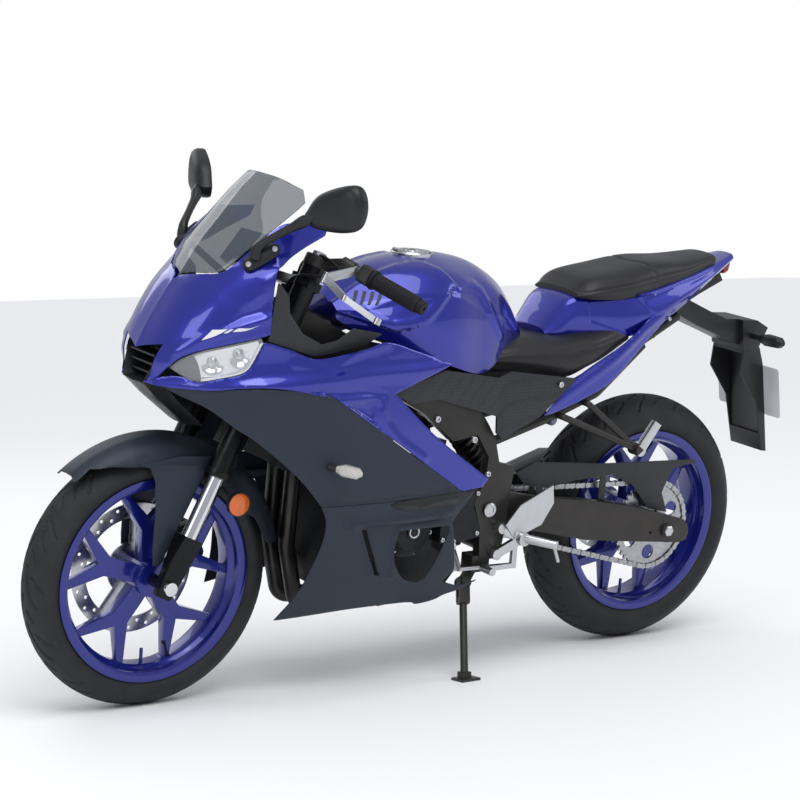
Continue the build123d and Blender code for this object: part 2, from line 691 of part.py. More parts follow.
cover_face = engine_half + seat_gap
generator_cover = round_cover(66, cover_face, 70, 18)
clutch_cover = mirror(round_cover(78, cover_face, 58, 22), about=Plane.XZ)
cover_side = [(7, 466), (-58, 474), (-98, 464), (-85, 432), (-85, 425), (-106, 373), (-108, 350),
              (-28, 338), (7, 344)]
arm_room = Pos(-104, 112, 420) * Box(24, 26, 160)
sprocket_cover = side_prism(cover_side, 102, 152) - arm_room

parts["engine_covers"] = [generator_cover, clutch_cover, sprocket_cover]

radiator_near = -62.0
radiator_depth = 30.0


def radiator():
    """The core and side tanks, tilted with the fork, on two posts off the cylinder head."""
    core = Pos(radiator_near - radiator_depth / 2, 0, 445) * Box(radiator_depth - 6, 210, 210)
    tanks = [Pos(radiator_near - radiator_depth / 2, s * 120, 445) * Box(radiator_depth, 32, 220)
             for s in (1, -1)]
    posts = [rod((-196, s * 96, post_height), (radiator_near - radiator_depth / 2, s * 96, post_height), 7)
             for s in (1, -1)]
    return steer * fuse(core, tanks, posts) - Pos(seat_gap, 0, 0) * head_block


post_height = 487.0
parts["radiator"] = radiator()

muffler_front = Vector(-236, -204, 280)
muffler_rear = Vector(-622, -214, 392)
muffler_along = (muffler_rear - muffler_front).normalized()

pipe_radius = 19.0
pipe_y = 38.0
header = tube([(284.3, pipe_y, 574.9), (346, pipe_y, 554.7), (352, pipe_y, 340), (318, pipe_y, 200),
               (60, pipe_y, 192)], pipe_radius, 36)
link_end = muffler_front - muffler_along * seat_gap
link_knee = muffler_front - muffler_along * 110
collector = fuse(bar((110, 0, 192), (20, -20, 192), 110, 36),
                 tube([(30, -30, 192), (-50, -60, 192), link_knee, link_end], 21, 40))
parts["exhaust_pipes"] = fuse(both(header), collector)


def muffler():
    """A short oval silencer on the right with a bevelled end and an outlet."""

    def section(reach, width, height):
        plane = Plane(origin=muffler_front + muffler_along * reach, x_dir=Vector(0, 1, 0),
                      z_dir=muffler_along)
        return plane * RectangleRounded(width, height, min(width, height) * 0.4)

    length = (muffler_rear - muffler_front).length
    body = loft([section(0, 52, 56), section(70, 92, 120), section(length - 30, 96, 128),
                 section(length, 78, 108)], ruled=True)
    outlet = rod(muffler_rear - muffler_along * 10, muffler_rear + muffler_along * 22, 24, bore=20)
    return body + outlet


parts["muffler"] = muffler()


# Tank, seats and tail: rows of half sections from the front to the rear

def half_section(x, points):
    """A closed section across the bike at x, from the (y, z) points of its left half."""
    left = [Vector(x, y, z) for y, z in points]
    right = [Vector(x, -y, z) for y, z in points if y > 0][::-1]
    return Face(Wire.make_polygon(left + right, close=True))


def hull(rows):
    """A body lofted through rows of (x, half section)."""
    return loft([half_section(x, points) for x, points in rows])


# x, then (y, z) at the crown, shoulder, knee crease, flank and foot
tank_rows = [
    (296, [(0, 918), (42, 910), (84, 884), (94, 862), (88, 850)]),
    (225, [(0, 960), (62, 944), (120, 896), (136, 862), (130, 834)]),
    (130, [(0, 990), (86, 972), (142, 925), (165, 868), (162, 806)]),
    (20, [(0, 1003), (105, 974), (152, 924), (166, 862), (172, 764)]),
    (-80, [(0, 990), (92, 952), (128, 880), (134, 846), (146, 740)]),
    (-150, [(0, 962), (78, 926), (106, 866), (112, 826), (116, 766)]),
    (-215, [(0, 915), (50, 880), (74, 842), (80, 822), (80, 796)]),
    (-250, [(0, 836), (40, 830), (54, 818), (58, 810), (58, 800)]),
]
tank = hull(tank_rows)
tunnel = side_prism([(420, 700), (420, 905), (300, 872), (205, 806), (60, 750), (-60, 700), (-60, 600)],
                    -inner_face - 30, inner_face + 30)
cap_x = 40.0
cap_radius = 40.0
cap_seat_z = 1001.0
cap_recess = Pos(cap_x, 0, cap_seat_z - 6) * Cylinder(cap_radius + 5, 40, align=(Align.CENTER, Align.CENTER, Align.MIN))
filler = Pos(cap_x, 0, cap_seat_z - 70) * Cylinder(20, 70, align=(Align.CENTER, Align.CENTER, Align.MIN))
parts["fuel_tank"] = tank - tunnel - cap_recess - filler

# The filler cap is a round lid hinged at its front edge, over a neck in the tank
cap_hinge = Vector(cap_x + cap_radius + 3, 0, cap_seat_z + 7)
cap_disc = Pos(cap_x, 0, cap_seat_z - 6 + seat_gap) \
    * Cylinder(cap_radius, 9, align=(Align.CENTER, Align.CENTER, Align.MIN))
cap_disc = chamfer(cap_disc.edges().group_by(Axis.Z)[-1], 2)
cap_ear = side_prism([(cap_hinge.X + 2.5, cap_hinge.Z - 2.5), (cap_hinge.X + 2.5, cap_hinge.Z + 2.5),
                      (cap_x + 24, cap_seat_z + 4), (cap_x + 24, cap_seat_z + 1),
                      (cap_x + 38, cap_seat_z + 1)], -7, 7)
hinge_pin = rod(cap_hinge - Vector(0, 13, 0), cap_hinge + Vector(0, 13, 0), 1.6)
pin_bore = rod(cap_hinge - Vector(0, 13, 0), cap_hinge + Vector(0, 13, 0), 1.6 + running_gap)
parts["fuel_cap"] = fuse(cap_disc, cap_ear, rod(cap_hinge - Vector(0, 7, 0), cap_hinge + Vector(0, 7, 0), 3.5)) \
    - pin_bore
hinge_posts = [Pos(cap_hinge.X, s * 10, cap_hinge.Z - 7) * Box(7, 5, 20) for s in (1, -1)]
parts["fuel_tank"] = fuse(parts["fuel_tank"], hinge_posts, hinge_pin)

# x, then (y, z) at the top centre, top edge, shoulder, side and underside
tail_rows = [
    (-430, [(0, 900), (70, 898), (92, 886), (99, 862), (94, 838)]),
    (-530, [(0, 905), (85, 903), (109, 895), (124, 850), (120, 804)]),
    (-620, [(0, 915), (88, 912), (107, 902), (124, 862), (116, 826)]),
    (-720, [(0, 938), (78, 934), (94, 925), (108, 900), (100, 872)]),
    (-820, [(0, 962), (62, 958), (74, 950), (82, 938), (76, 926)]),
    (-930, [(0, 986), (26, 984), (32, 980), (35, 975), (32, 968)]),
]
tail = hull(tail_rows)


def tail_spear():
    """The blade that runs forward and down from the tail along the subframe."""
    path = [(-250, 150), (-370, 152), (-480, 148), (-570, 134), (-670, 114), (-760, 92)]
    side = [(-262, 629), (-393, 668), (-468, 703), (-570, 782), (-667, 848), (-740, 884),
            (-700, 900), (-605, 856), (-515, 800), (-360, 719)]
    return curtain(path, panel, 560, 960) & side_prism(side, 0, 200)


# Two feet stand the tail on the subframe's rear cross tube
tail_foot = rod(tail_seat + Vector(0, 0, bridge_radius + seat_gap), tail_seat + Vector(0, 0, 70), 8)
parts["tail_cowl"] = fuse(tail, both(tail_spear()), both(tail_foot))

# x, then (y, z) at the crown, roll, edge and underside
pillion_rows = [
    (-392, [(0, 918), (60, 914), (86, 904), (84, 896)]),
    (-440, [(0, 942), (76, 938), (107, 912), (104, 890)]),
    (-540, [(0, 960), (80, 955), (110, 925), (106, 890)]),
    (-640, [(0, 978), (72, 972), (98, 942), (94, 900)]),
    (-740, [(0, 980), (62, 975), (84, 955), (80, 920)]),
    (-850, [(0, 992), (45, 988), (60, 976), (56, 950)]),
]
parts["pillion_seat"] = hull(pillion_rows) - Pos(0, 0, seat_gap) * tail

# x, then (y, z) at the crown, roll, edge, skirt and underside
rider_rows = [
    (-118, [(0, 790), (80, 792), (114, 776), (118, 758), (100, 742)]),
    (-256, [(0, 810), (85, 808), (128, 782), (134, 748), (110, 728)]),
    (-340, [(0, 806), (95, 806), (141, 780), (145, 740), (120, 712)]),
    (-430, [(0, 820), (98, 818), (140, 794), (142, 758), (116, 742)]),
    (-536, [(0, 842), (95, 836), (118, 812), (118, 796), (95, 786)]),
]
tail_front = plan_prism([(-426, 0), (-428, 62), (-466, 98), (-528, 128), (-700, 128), (-700, -128),
                         (-528, -128), (-466, -98), (-428, -62)], 780, 900)
rider = hull(rider_rows) - Pos(-seat_gap, 0, -seat_gap) * tank - tail_front
parts["rider_seat"] = rider - Pos(seat_gap, 0, -seat_gap) * tail

# The slim lamp across the end of the tail
lamp = front_prism([(-30, 942), (-24, 978), (24, 978), (30, 942), (22, 934), (-22, 934)], -945, -905)
lamp = lamp & side_prism([(-934, 978), (-905, 978), (-900, 930), (-918, 932)], -40, 40)
lamp -= Pos(0, 0, -seat_gap) * tail
parts["tail_lamp"] = lamp & Pos(-920, 0, 945) * Box(60, 70, 50)


# Under the tail: the tray, the rear fender's arm and its tongue with the plate

def under_tail():
    tray = side_prism([(-560, 778), (-600, 806), (-640, 822), (-720, 864), (-820, 912), (-880, 940),
                       (-893, 920), (-820, 888), (-770, 862), (-720, 838)], -44, 44)
    arm_half = side_prism([(-735, 846), (-790, 872), (-860, 843), (-922, 820), (-1013, 816), (-1052, 796),
                           (-1030, 748), (-966, 752), (-900, 778), (-820, 808)], -42, 42)
    box = side_prism([(-962, 818), (-1013, 816), (-1052, 796), (-1022, 736), (-975, 740)], -60, 60)
    tongue = side_prism([(-980, 745), (-1032, 745), (-1050, 700), (-1094, 468), (-1078, 470),
                         (-1040, 600), (-975, 680)], -58, 58)
    hollow = side_prism([(-970, 730), (-1020, 730), (-1036, 690), (-1072, 500), (-1030, 590),
                         (-968, 676)], -54, 54)
    return fuse(tray, arm_half, box, tongue - hollow)


def turn_signal(root, tip, stalk, length, width, height):
    """A stalk that ends in a lens body, longer along its stalk than it is high."""
    along = (tip - root).normalized()
    stem_part = rod(root, root + along * (stalk + 4), 7)
    plane = Plane(origin=root + along * stalk, x_dir=Vector(1, 0, 0), z_dir=along)
    body = loft([plane * RectangleRounded(width * 0.6, height * 0.6, height * 0.25),
                 plane.offset(length * 0.3) * RectangleRounded(width, height, height * 0.4),
                 plane.offset(length * 0.85) * RectangleRounded(width * 0.85, height * 0.9, height * 0.35),
                 plane.offset(length) * RectangleRounded(width * 0.4, height * 0.4, height * 0.15)],
                ruled=True)
    return stem_part + body


parts["under_tail"] = under_tail()
parts["rear_signals"] = both(turn_signal(Vector(-1000, 61, 776), Vector(-991, 181, 779), 36, 84, 34, 30))

plate_width = 230.0
plate_height = 132.0
plate_plane = Plane(origin=(-1063.3, 0, 632), x_dir=(0, 1, 0), z_dir=(-1, 0, 0.19))
plate = plate_plane * (extrude(RectangleRounded(plate_width, plate_height, 8), amount=2))
parts["number_plate"] = plate


# Fairing skins. Rows run from the top down; each row is z, then (x, y) from the nose back.

cowl_rows = [
    (1092, [(560, 0), (546, 68), (489, 137), (440, 150), (405, 155), (372, 157)]),
    (1030, [(607, 0), (597, 64), (564, 131), (500, 158), (447, 166), (380, 168)]),
    (975, [(643, 0), (634, 60), (606, 112), (566, 158), (522, 190), (400, 200)]),
    (920, [(680, 0), (673, 62), (646, 120), (600, 168), (530, 198), (420, 208)]),
    (862, [(714, 0), (706, 62), (680, 118), (626, 174), (542, 205), (430, 214)]),
    (800, [(742, 0), (731, 62), (704, 118), (646, 168), (556, 206), (440, 222)]),
    (736, [(754, 0), (750, 48), (720, 86), (650, 166), (548, 226), (450, 242)]),
]

# z, then (x, y) at nose, cheek, temple, shoulder, flank, hip and rear
side_rows = [
    (872, [(706, 62), (680, 118), (626, 172), (542, 205), (421, 215), (240, 210), (20, 196)]),
    (800, [(731, 62), (704, 118), (646, 168), (556, 206), (421, 226), (240, 224), (20, 206)]),
    (736, [(750, 48), (720, 86), (650, 166), (548, 228), (400, 248), (220, 234), (0, 214)]),
    (650, [(716, 72), (676, 150), (612, 208), (545, 236), (400, 256), (180, 244), (-30, 220)]),
    (565, [(660, 130), (600, 196), (540, 232), (440, 258), (300, 260), (120, 246), (-70, 226)]),
    (490, [(620, 160), (560, 200), (500, 230), (400, 256), (260, 260), (80, 248), (-90, 230)]),
    (410, [(560, 170), (500, 204), (450, 224), (370, 242), (240, 244), (100, 240), (-90, 234)]),
    (300, [(540, 160), (480, 184), (430, 198), (340, 212), (220, 220), (100, 220), (-90, 218)]),
    (200, [(520, 134), (470, 148), (420, 158), (340, 166), (220, 172), (100, 176), (-90, 182)]),
]

screen_rows = [
    (1190, [(466, 0), (450, 52), (398, 96), (370, 112)]),
    (1140, [(515, 0), (499, 62), (440, 118), (410, 134)]),
    (1090, [(556, 0), (541, 68), (489, 134), (450, 152)]),
    (1030, [(604, 0), (593, 64), (562, 128), (520, 150)]),
    (985, [(634, 0), (624, 60), (600, 108), (560, 150)]),
    (945, [(662, 0), (654, 48), (630, 94), (590, 140)]),
]

screen_outline = [(700, 930), (662, 949), (640, 972), (603, 986), (564, 1029), (489, 1088),
                  (424, 1134), (419, 1160), (471, 1186), (560, 1186), (720, 1000)]
cowl_outline = [(780, 738), (752, 742), (733, 755), (717, 783), (700, 806), (667, 826), (615, 843),
                (555, 858), (535, 864), (522, 974), (492, 1008), (447, 1036), (385, 1066), (375, 1090),
                (440, 1090), (488, 1087), (562, 1028), (602, 985), (640, 971), (662, 948),
                (700, 960), (790, 860)]
lamp_outline = [(718, 781), (700, 804), (667, 824), (615, 841), (556, 856), (550, 846), (572, 803),
                (592, 782), (637, 767), (672, 757), (693, 764)]
side_outline = [(752, 741), (735, 753), (716, 761), (693, 763), (672, 756), (637, 766), (591, 781),
                (571, 802), (549, 845), (538, 846), (485, 830), (421, 810), (302, 826), (239, 838),
                (150, 812), (57, 782), (140, 752), (221, 726), (107, 626), (-58, 513), (-41, 495),
                (-12, 493), (17, 488), (375, 719), (413, 731), (482, 746), (544, 752), (600, 750),
                (647, 742), (720, 738)]
mid_outline = [(719, 737), (647, 741), (600, 749), (544, 751), (482, 745), (413, 730), (376, 718),
               (18, 487), (221, 488), (326, 489), (408, 489), (421, 504), (479, 565), (570, 639),
               (608, 664), (656, 702), (703, 725)]
belly_outline = [(408, 488), (326, 488), (221, 487), (18, 486), (-23, 492), (20, 448), (40, 418), (35, 409),
                 (8, 301), (33, 271), (-18, 255), (-67, 264), (-30, 244), (12, 233), (38, 221), (84, 215),
                 (115, 223), (272, 221), (448, 208), (415, 274), (397, 347), (387, 407), (391, 455)]
cover_window = [(47, 413), (188, 413), (192, 374), (181, 329), (149, 291), (109, 276), (88, 284),
                (68, 330), (44, 400)]
slot_window = [(296, 426), (276, 422), (221, 310), (236, 312)]

cowl_skin = skin(cowl_rows, panel)
side_skin = skin(side_rows, panel)
duct_front = [(0, 812), (80, 827), (52, 700), (-52, 700), (-80, 827)]

cowl_half = cowl_skin & side_prism(cowl_outline, -0.001, 320)
front_cowl = fuse(both(cowl_half)) - front_prism(duct_front, 690, 800)
parts["front_cowl"] = front_cowl
parts["windscreen"] = fuse(both(skin(screen_rows, screen_thickness)
                                & side_prism(screen_outline, -0.001, 320)))
lamp_depth = 30.0
lamp_skin = skin(cowl_rows, lamp_depth)
parts["headlamps"] = both(lamp_skin & side_prism(lamp_outline, 30, 320))
parts["side_panels"] = both(side_skin & side_prism(side_outline, 0, 320))
parts["mid_panels"] = both(side_skin & side_prism(mid_outline, 0, 320))
belly = side_skin & side_prism(belly_outline, 0, 320)
belly = belly - side_prism(cover_window, 0, 320) - side_prism(slot_window, 0, 320)
parts["belly_panels"] = both(belly)


# The black mouth between the lamps and the chin under it

def nose_duct():
    mouth = front_prism([(0, 811), (77, 825), (45, 738), (-45, 738), (-77, 825)], 640, 780)
    shell = fuse(both(cowl_skin & side_prism([(680, 736), (780, 736), (780, 830), (680, 830)],
                                                           -0.001, 100)))
    return shell & mouth


def chin():
    rows = [
        (737.6, [(752, 0), (746, 44), (714, 80)]),
        (700, [(716, 0), (708, 40), (676, 74)]),
        (640, [(640, 0), (634, 36), (606, 66)]),
    ]
    return fuse(both(skin(rows, panel)))


parts["nose_duct"] = nose_duct()
parts["chin"] = chin()


# Dark trims inside the fairing beside the bars

def inner_trim():
    path = [(560, 200.6), (450, 203.6), (380, 196.8), (222, 178.8)]
    wall = curtain(path, panel, 780, 1000)
    side = [(518, 973), (493, 946), (488, 908), (453, 863), (399, 836), (356, 843), (313, 867),
            (230, 850), (273, 828), (382, 813), (418, 811), (536, 848), (534.7, 862), (521.7, 973)]
    return wall & side_prism(side, 0, 320)


parts["inner_trims"] = both(inner_trim())


def side_cover():
    """The textured cover over the frame, from the fairing back to the seat."""
    path = [(226, 224), (62, frame_half + 52), (-112, frame_half + 21), (-150, frame_half + 16),
            (-360, frame_half + 13)]
    wall = curtain(path, panel * 2, 560, 790)
    side = [(222, 724), (62, 764), (-112, 732), (-152, 744), (-349, 718), (-245, 631), (-138, 585),
            (-118, 602), (-115, 641), (79, 699), (158, 696)]
    stud = rod((-60, frame_half + seat_gap, 669), (-60, frame_half + 27, 669), 7)
    return fuse(wall & side_prism(side, 0, 320), stud)


parts["side_covers"] = both(side_cover())


# Mirrors, each on a stem from a foot on the cowl
mirror_foot = Vector(556, 152, 1012)
mirror_neck = Vector(556, 158, 1044)
mirror_elbow = Vector(486, 222, 1104)
mirror_inner = 212.0
mirror_turn = 19.6
cowl_block = loft([filled(points, z, seat_gap) for z, points in cowl_rows[:4]], ruled=True)


def mirror_piece():
    foot = bar((577, 147, 1000), (505, 163, 1044), 14, 34)
    neck = rod(mirror_foot, mirror_neck + Vector(0, 4, 8), 13)
    stem_part = fuse(bar(mirror_neck, mirror_elbow, 16, 22), Pos(*mirror_elbow) * Sphere(13))
    outline = [(212, 1120), (226, 1094), (300, 1093), (352, 1108), (366, 1148), (352, 1190), (330, 1195),
               (250, 1168)]
    head = front_prism([(y - mirror_inner, z) for y, z in outline], -22, 14)
    head = Pos(478, mirror_inner, 0) * Rot(0, 0, mirror_turn) * head
    return fuse(foot, neck, stem_part, head) - cowl_block


parts["mirrors"] = both(mirror_piece())
parts["front_signals"] = both(turn_signal(Vector(400, 260.2, 580), Vector(362, 333, 577), 22, 58, 30, 26))


# The stay that carries the nose: a boom off the steering head with a crossbar to the mirrors
stay_boom = steer * (rod((head_radius - 6, 0, 644), (135, 0, 660), 10)
                     - rod((0, 0, 600), (0, 0, 700), head_radius + seat_gap))
stay_node = steer.from_local_coords(Vector(135, 0, 660))
cowl_room = loft([filled(points, z, -panel - seat_gap) for z, points in cowl_rows[:5]], ruled=True)
stay_side = both(rod(stay_node + Vector(-2, 0, -2), stay_node + Vector(44, 176, 84), 8) & cowl_room)
dash = Pos(*(stay_node + Vector(-29, 0, 77))) * Rot(0, -38, 0) * Box(26, 150, 84)
dash_post = rod(stay_node + Vector(-2, 0, -5), stay_node + Vector(-25, 0, 67), 9)
parts["fairing_stay"] = fuse(stay_boom, stay_side, dash, dash_post)


# Footrests: the cast bracket, peg and heel guard of each side, and the two pedals

def rider_footrest():
    y = frame_half + seat_gap
    foot_y = y + 34
    arms = fuse(bar((-162, y + 11, 372), (-206, foot_y, 347), 16, 22),
                bar((-152, y + 11, 306), (-206, foot_y, 345), 16, 20),
                rod((-160, y, 370), (-160, y + 22, 370), 13),
                rod((-150, y, 307), (-150, y + 22, 307), 13))
    hub = rod((-206, foot_y - 16, 346), (-206, foot_y + 16, 346), 16)
    peg = rod((-212, foot_y + 8, 347), (-252, foot_y + 78, 345), 10.5)
    feeler = rod((-249, foot_y + 73, 340), (-262, foot_y + 76, 304), 4)
    guard = side_prism([(-159, 382), (-197, 426), (-290, 468), (-296, 424), (-264, 374), (-214, 356),
                        (-190, 340)], foot_y - 4, foot_y)
    return fuse(arms, hub, peg, feeler, guard)


parts["rider_footrests"] = both(rider_footrest())


pedal_inner = frame_half + 5
pedal_outer = frame_half + 17
pedal_y = frame_half + 11
brake_y = frame_half + 10
crank_y = frame_half + 2


def shift_pedal():
    """The left pedal on the footrest hub, its link and the crank on the shift shaft."""
    crank = bar((-40, engine_half + seat_gap + 8, 330), (-52, crank_y, 274), 12, 16)
    shaft = rod((-40, engine_half + seat_gap, 330), (-40, engine_half + 20, 330), 9)
    link = rod((-52, crank_y, 276), (-206, pedal_y, 276), 5)
    boss = rod((-206, pedal_inner, 346), (-206, pedal_outer, 346), 12)
    pedal = fuse(boss, bar((-206, pedal_y, 346), (-206, pedal_y, 268), 10, 14),
                 bar((-206, pedal_y, 274), (-104, pedal_y + 21, 280), 8, 12),
                 rod((-104, pedal_y + 17, 282), (-104, pedal_y + 57, 282), 9))
    return fuse(crank, shaft, link, pedal)


def brake_pedal():
    """The right pedal, which passes between the two arms of the footrest bracket."""
    boss = rod((-206, -pedal_inner, 346), (-206, -pedal_outer, 346), 12)
    return fuse(boss, bar((-206, -brake_y, 346), (-150, -brake_y, 337), 8, 12),
                bar((-150, -brake_y, 337), (-70, -brake_y - 38, 316), 8, 12),
                rod((-70, -brake_y - 34, 317), (-70, -brake_y - 76, 317), 9))


parts["pedals"] = [shift_pedal(), brake_pedal()]


def passenger_rest():
    """A two-armed bracket off the subframe with its folded peg."""
    hub_point = Vector(-548, 172, 536)
    arms = fuse(tube([(-404, 127.6, 651), (-404, 146, 651), hub_point], 8, 10),
                tube([(-330, 127.6, 623), (-330, 148, 623), hub_point], 8, 10),
                rod((-548, 156, 536), (-548, 190, 536), 15))
    peg = bar((-552, 182, 540), (-592, 186, 602), 15, 22)
    return fuse(arms, peg)


parts["passenger_footrests"] = both(passenger_rest())


# Chain guard over the upper run
guard_side = [(-233, 484), (-292, 507), (-496, 489), (-793, 479), (-808, 469), (-728, 462), (-700, 400),
              (-723, 348), (-660, 362), (-600, 428), (-530, 459), (-420, 452), (-330, 440), (-262, 452)]
guard_plate = side_prism(guard_side, 108, 111)
# Two feet that step out from the guard onto the top of the left arm, with their risers
guard_feet = [side_prism([(-520, 394.7), (-490, 400.2), (-490, 403.2), (-520, 397.7)], 108, 140),
              side_prism([(-516, 396.5), (-494, 400.5), (-496, 465), (-512, 465)], 108, 111),
              side_prism([(-320, 424.7), (-296, 428.7), (-296, 431.7), (-320, 427.7)], 108, 140),
              side_prism([(-318, 426.5), (-298, 429.8), (-298, 450), (-318, 446)], 108, 111)]
parts["chain_guard"] = fuse(guard_plate, guard_feet)


# Side stand: a lug under the frame carries a bolt; the stand's fork turns on it
stand_foot = Vector(-30, 242, 242 * tan(radians(lean)))
stand_down = (stand_foot - stand_pivot).normalized()
stand_up = Vector(-222, 40, 16).normalized()
stand_axis = stand_down.cross(stand_up).normalized()
stand_length = (stand_foot - stand_pivot).length
stand_plane = Plane(origin=stand_pivot, x_dir=stand_down, z_dir=stand_axis)
stand_bolt = 6.0
lug_half = 6.0
cheek = 6.0


def cheek_plate(side):
    """One side of the stand's fork, round at the bolt."""
    z = side * (lug_half + seat_gap + cheek / 2)
    return Pos(0, 0, z) * Cylinder(17, cheek) + Pos(24, 0, z) * Box(48, 26, cheek)


def side_stand():
    fork_block = Pos(44, 0, 0) * Box(16, 24, 2 * (lug_half + seat_gap + cheek))
    leg_tube = rod((40, 0, 0), (stand_length - 9, 0, 0), 9)
    upper = stand_plane * (fuse(cheek_plate(1), cheek_plate(-1), fork_block, leg_tube)
                           - Cylinder(stand_bolt + running_gap, 60))
    ground = Plane(origin=stand_foot, x_dir=(1, 0, 0),
                   z_dir=(0, -sin(radians(lean)), cos(radians(lean))))
    pad = ground * Pos(0, 6, 0) * Box(52, 44, 6, align=(Align.CENTER, Align.CENTER, Align.MIN))
    ankle = ground * Pos(0, 0, 5) * Box(24, 22, 14, align=(Align.CENTER, Align.CENTER, Align.MIN))
    return fuse(upper, pad, ankle)


parts["side_stand"] = side_stand()
lug_arm = Rot(0, 0, degrees(atan2(25, -44))) * Pos(28, 0, 0) * Box(56, 26, 2 * lug_half)
bolt_reach = lug_half + cheek + 2 * seat_gap
stand_lug = stand_plane * fuse(Cylinder(16, 2 * lug_half), lug_arm, Cylinder(stand_bolt, 2 * bolt_reach + 10),
                               Pos(0, 0, bolt_reach + 3) * Cylinder(10, 6),
                               Pos(0, 0, -bolt_reach - 3) * Cylinder(10, 6))
lug_block = Pos(-121, 126, 282) * Box(50, 44, 40)
parts["main_frame"] = fuse(parts["main_frame"], stand_lug, lug_block)

# Every piece leans over with the bike. The origin is then the middle of the whole
# footprint, on the ground, and each piece is written to its own file.
footprint_middle = (-55.54, 148.61)
leaning = Pos(-footprint_middle[0], -footprint_middle[1], 0) * Rot(-lean, 0, 0)
os.makedirs("parts", exist_ok=True)
for name, shape in parts.items():
    pieces = shape if isinstance(shape, list) else [shape]
    solids = [solid for piece in pieces for solid in (leaning * piece).solids()]
    export_step(Compound(children=solids) if len(solids) > 1 else solids[0], f"parts/{name}.step")
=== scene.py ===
import bpy
import bmesh
import json
from contextlib import contextmanager
from math import asin, atan2, cos, degrees, hypot, pi, radians, sin, sqrt
from mathutils import Matrix, Vector
from mathutils.bvhtree import BVHTree
from mathutils.geometry import delaunay_2d_cdt


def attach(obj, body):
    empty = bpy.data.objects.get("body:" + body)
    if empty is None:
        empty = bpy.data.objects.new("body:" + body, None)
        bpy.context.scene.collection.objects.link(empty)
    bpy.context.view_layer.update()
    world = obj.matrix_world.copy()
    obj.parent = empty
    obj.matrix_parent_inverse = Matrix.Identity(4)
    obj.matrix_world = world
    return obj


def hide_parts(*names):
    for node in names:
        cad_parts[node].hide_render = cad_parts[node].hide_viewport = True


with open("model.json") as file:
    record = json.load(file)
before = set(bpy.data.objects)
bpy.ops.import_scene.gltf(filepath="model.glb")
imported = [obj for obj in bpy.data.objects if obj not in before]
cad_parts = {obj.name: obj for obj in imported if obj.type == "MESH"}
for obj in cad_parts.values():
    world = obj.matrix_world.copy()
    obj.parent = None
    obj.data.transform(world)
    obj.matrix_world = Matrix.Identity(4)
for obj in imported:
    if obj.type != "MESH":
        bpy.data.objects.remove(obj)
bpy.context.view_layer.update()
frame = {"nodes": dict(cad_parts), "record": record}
nodes = frame["nodes"]

# Pieces are drawn on the upright bike in millimetres and lean with it here.
# X forward, Y to the rider's left, Z up, origin on the ground midway between the axles.
lean_angle = radians(9.0)
shift = Vector((0.05554, -0.14861, 0.0))
lean = Matrix.Translation(shift) @ Matrix.Rotation(-lean_angle, 4, "X") @ Matrix.Scale(0.001, 4)
upright = lean.inverted()


def add(name, data):
    """A new object in the scene."""
    obj = bpy.data.objects.new(name, data)
    bpy.context.scene.collection.objects.link(obj)
    return obj


def make_camera():
    """The camera off the bike's left front, at the height of the tank."""
    place = Vector((3.0531571, 4.4451495, 1.033367))
    yaw, pitch, roll = 4.1145, -0.0719, -0.0141
    focal_pixels, frame_pixels, sensor, wider = 2312.9131, 800.0, 36.0, 0.985
    looking = Vector((cos(pitch) * cos(yaw), cos(pitch) * sin(yaw), sin(pitch)))
    level = looking.cross(Vector((0, 0, 1))).normalized()
    above = level.cross(looking)
    right = level * cos(roll) + above * sin(roll)
    upward = above * cos(roll) - level * sin(roll)
    data = bpy.data.cameras.new("camera")
    data.sensor_width = sensor
    data.lens = focal_pixels * sensor / frame_pixels * wider
    data.shift_x, data.shift_y = 0.024, -0.004
    camera = add("camera", data)
    turn = Matrix((right, upward, -looking)).transposed().to_4x4()
    camera.matrix_world = Matrix.Translation(place + shift) @ turn
    bpy.context.scene.camera = camera
    bpy.context.scene.view_settings.view_transform = "Standard"


def srgb(hexa):
    values = [int(hexa[i:i + 2], 16) / 255 for i in (0, 2, 4)]
    return tuple(v / 12.92 if v <= 0.04045 else ((v + 0.055) / 1.055) ** 2.4 for v in values)


mats = {}


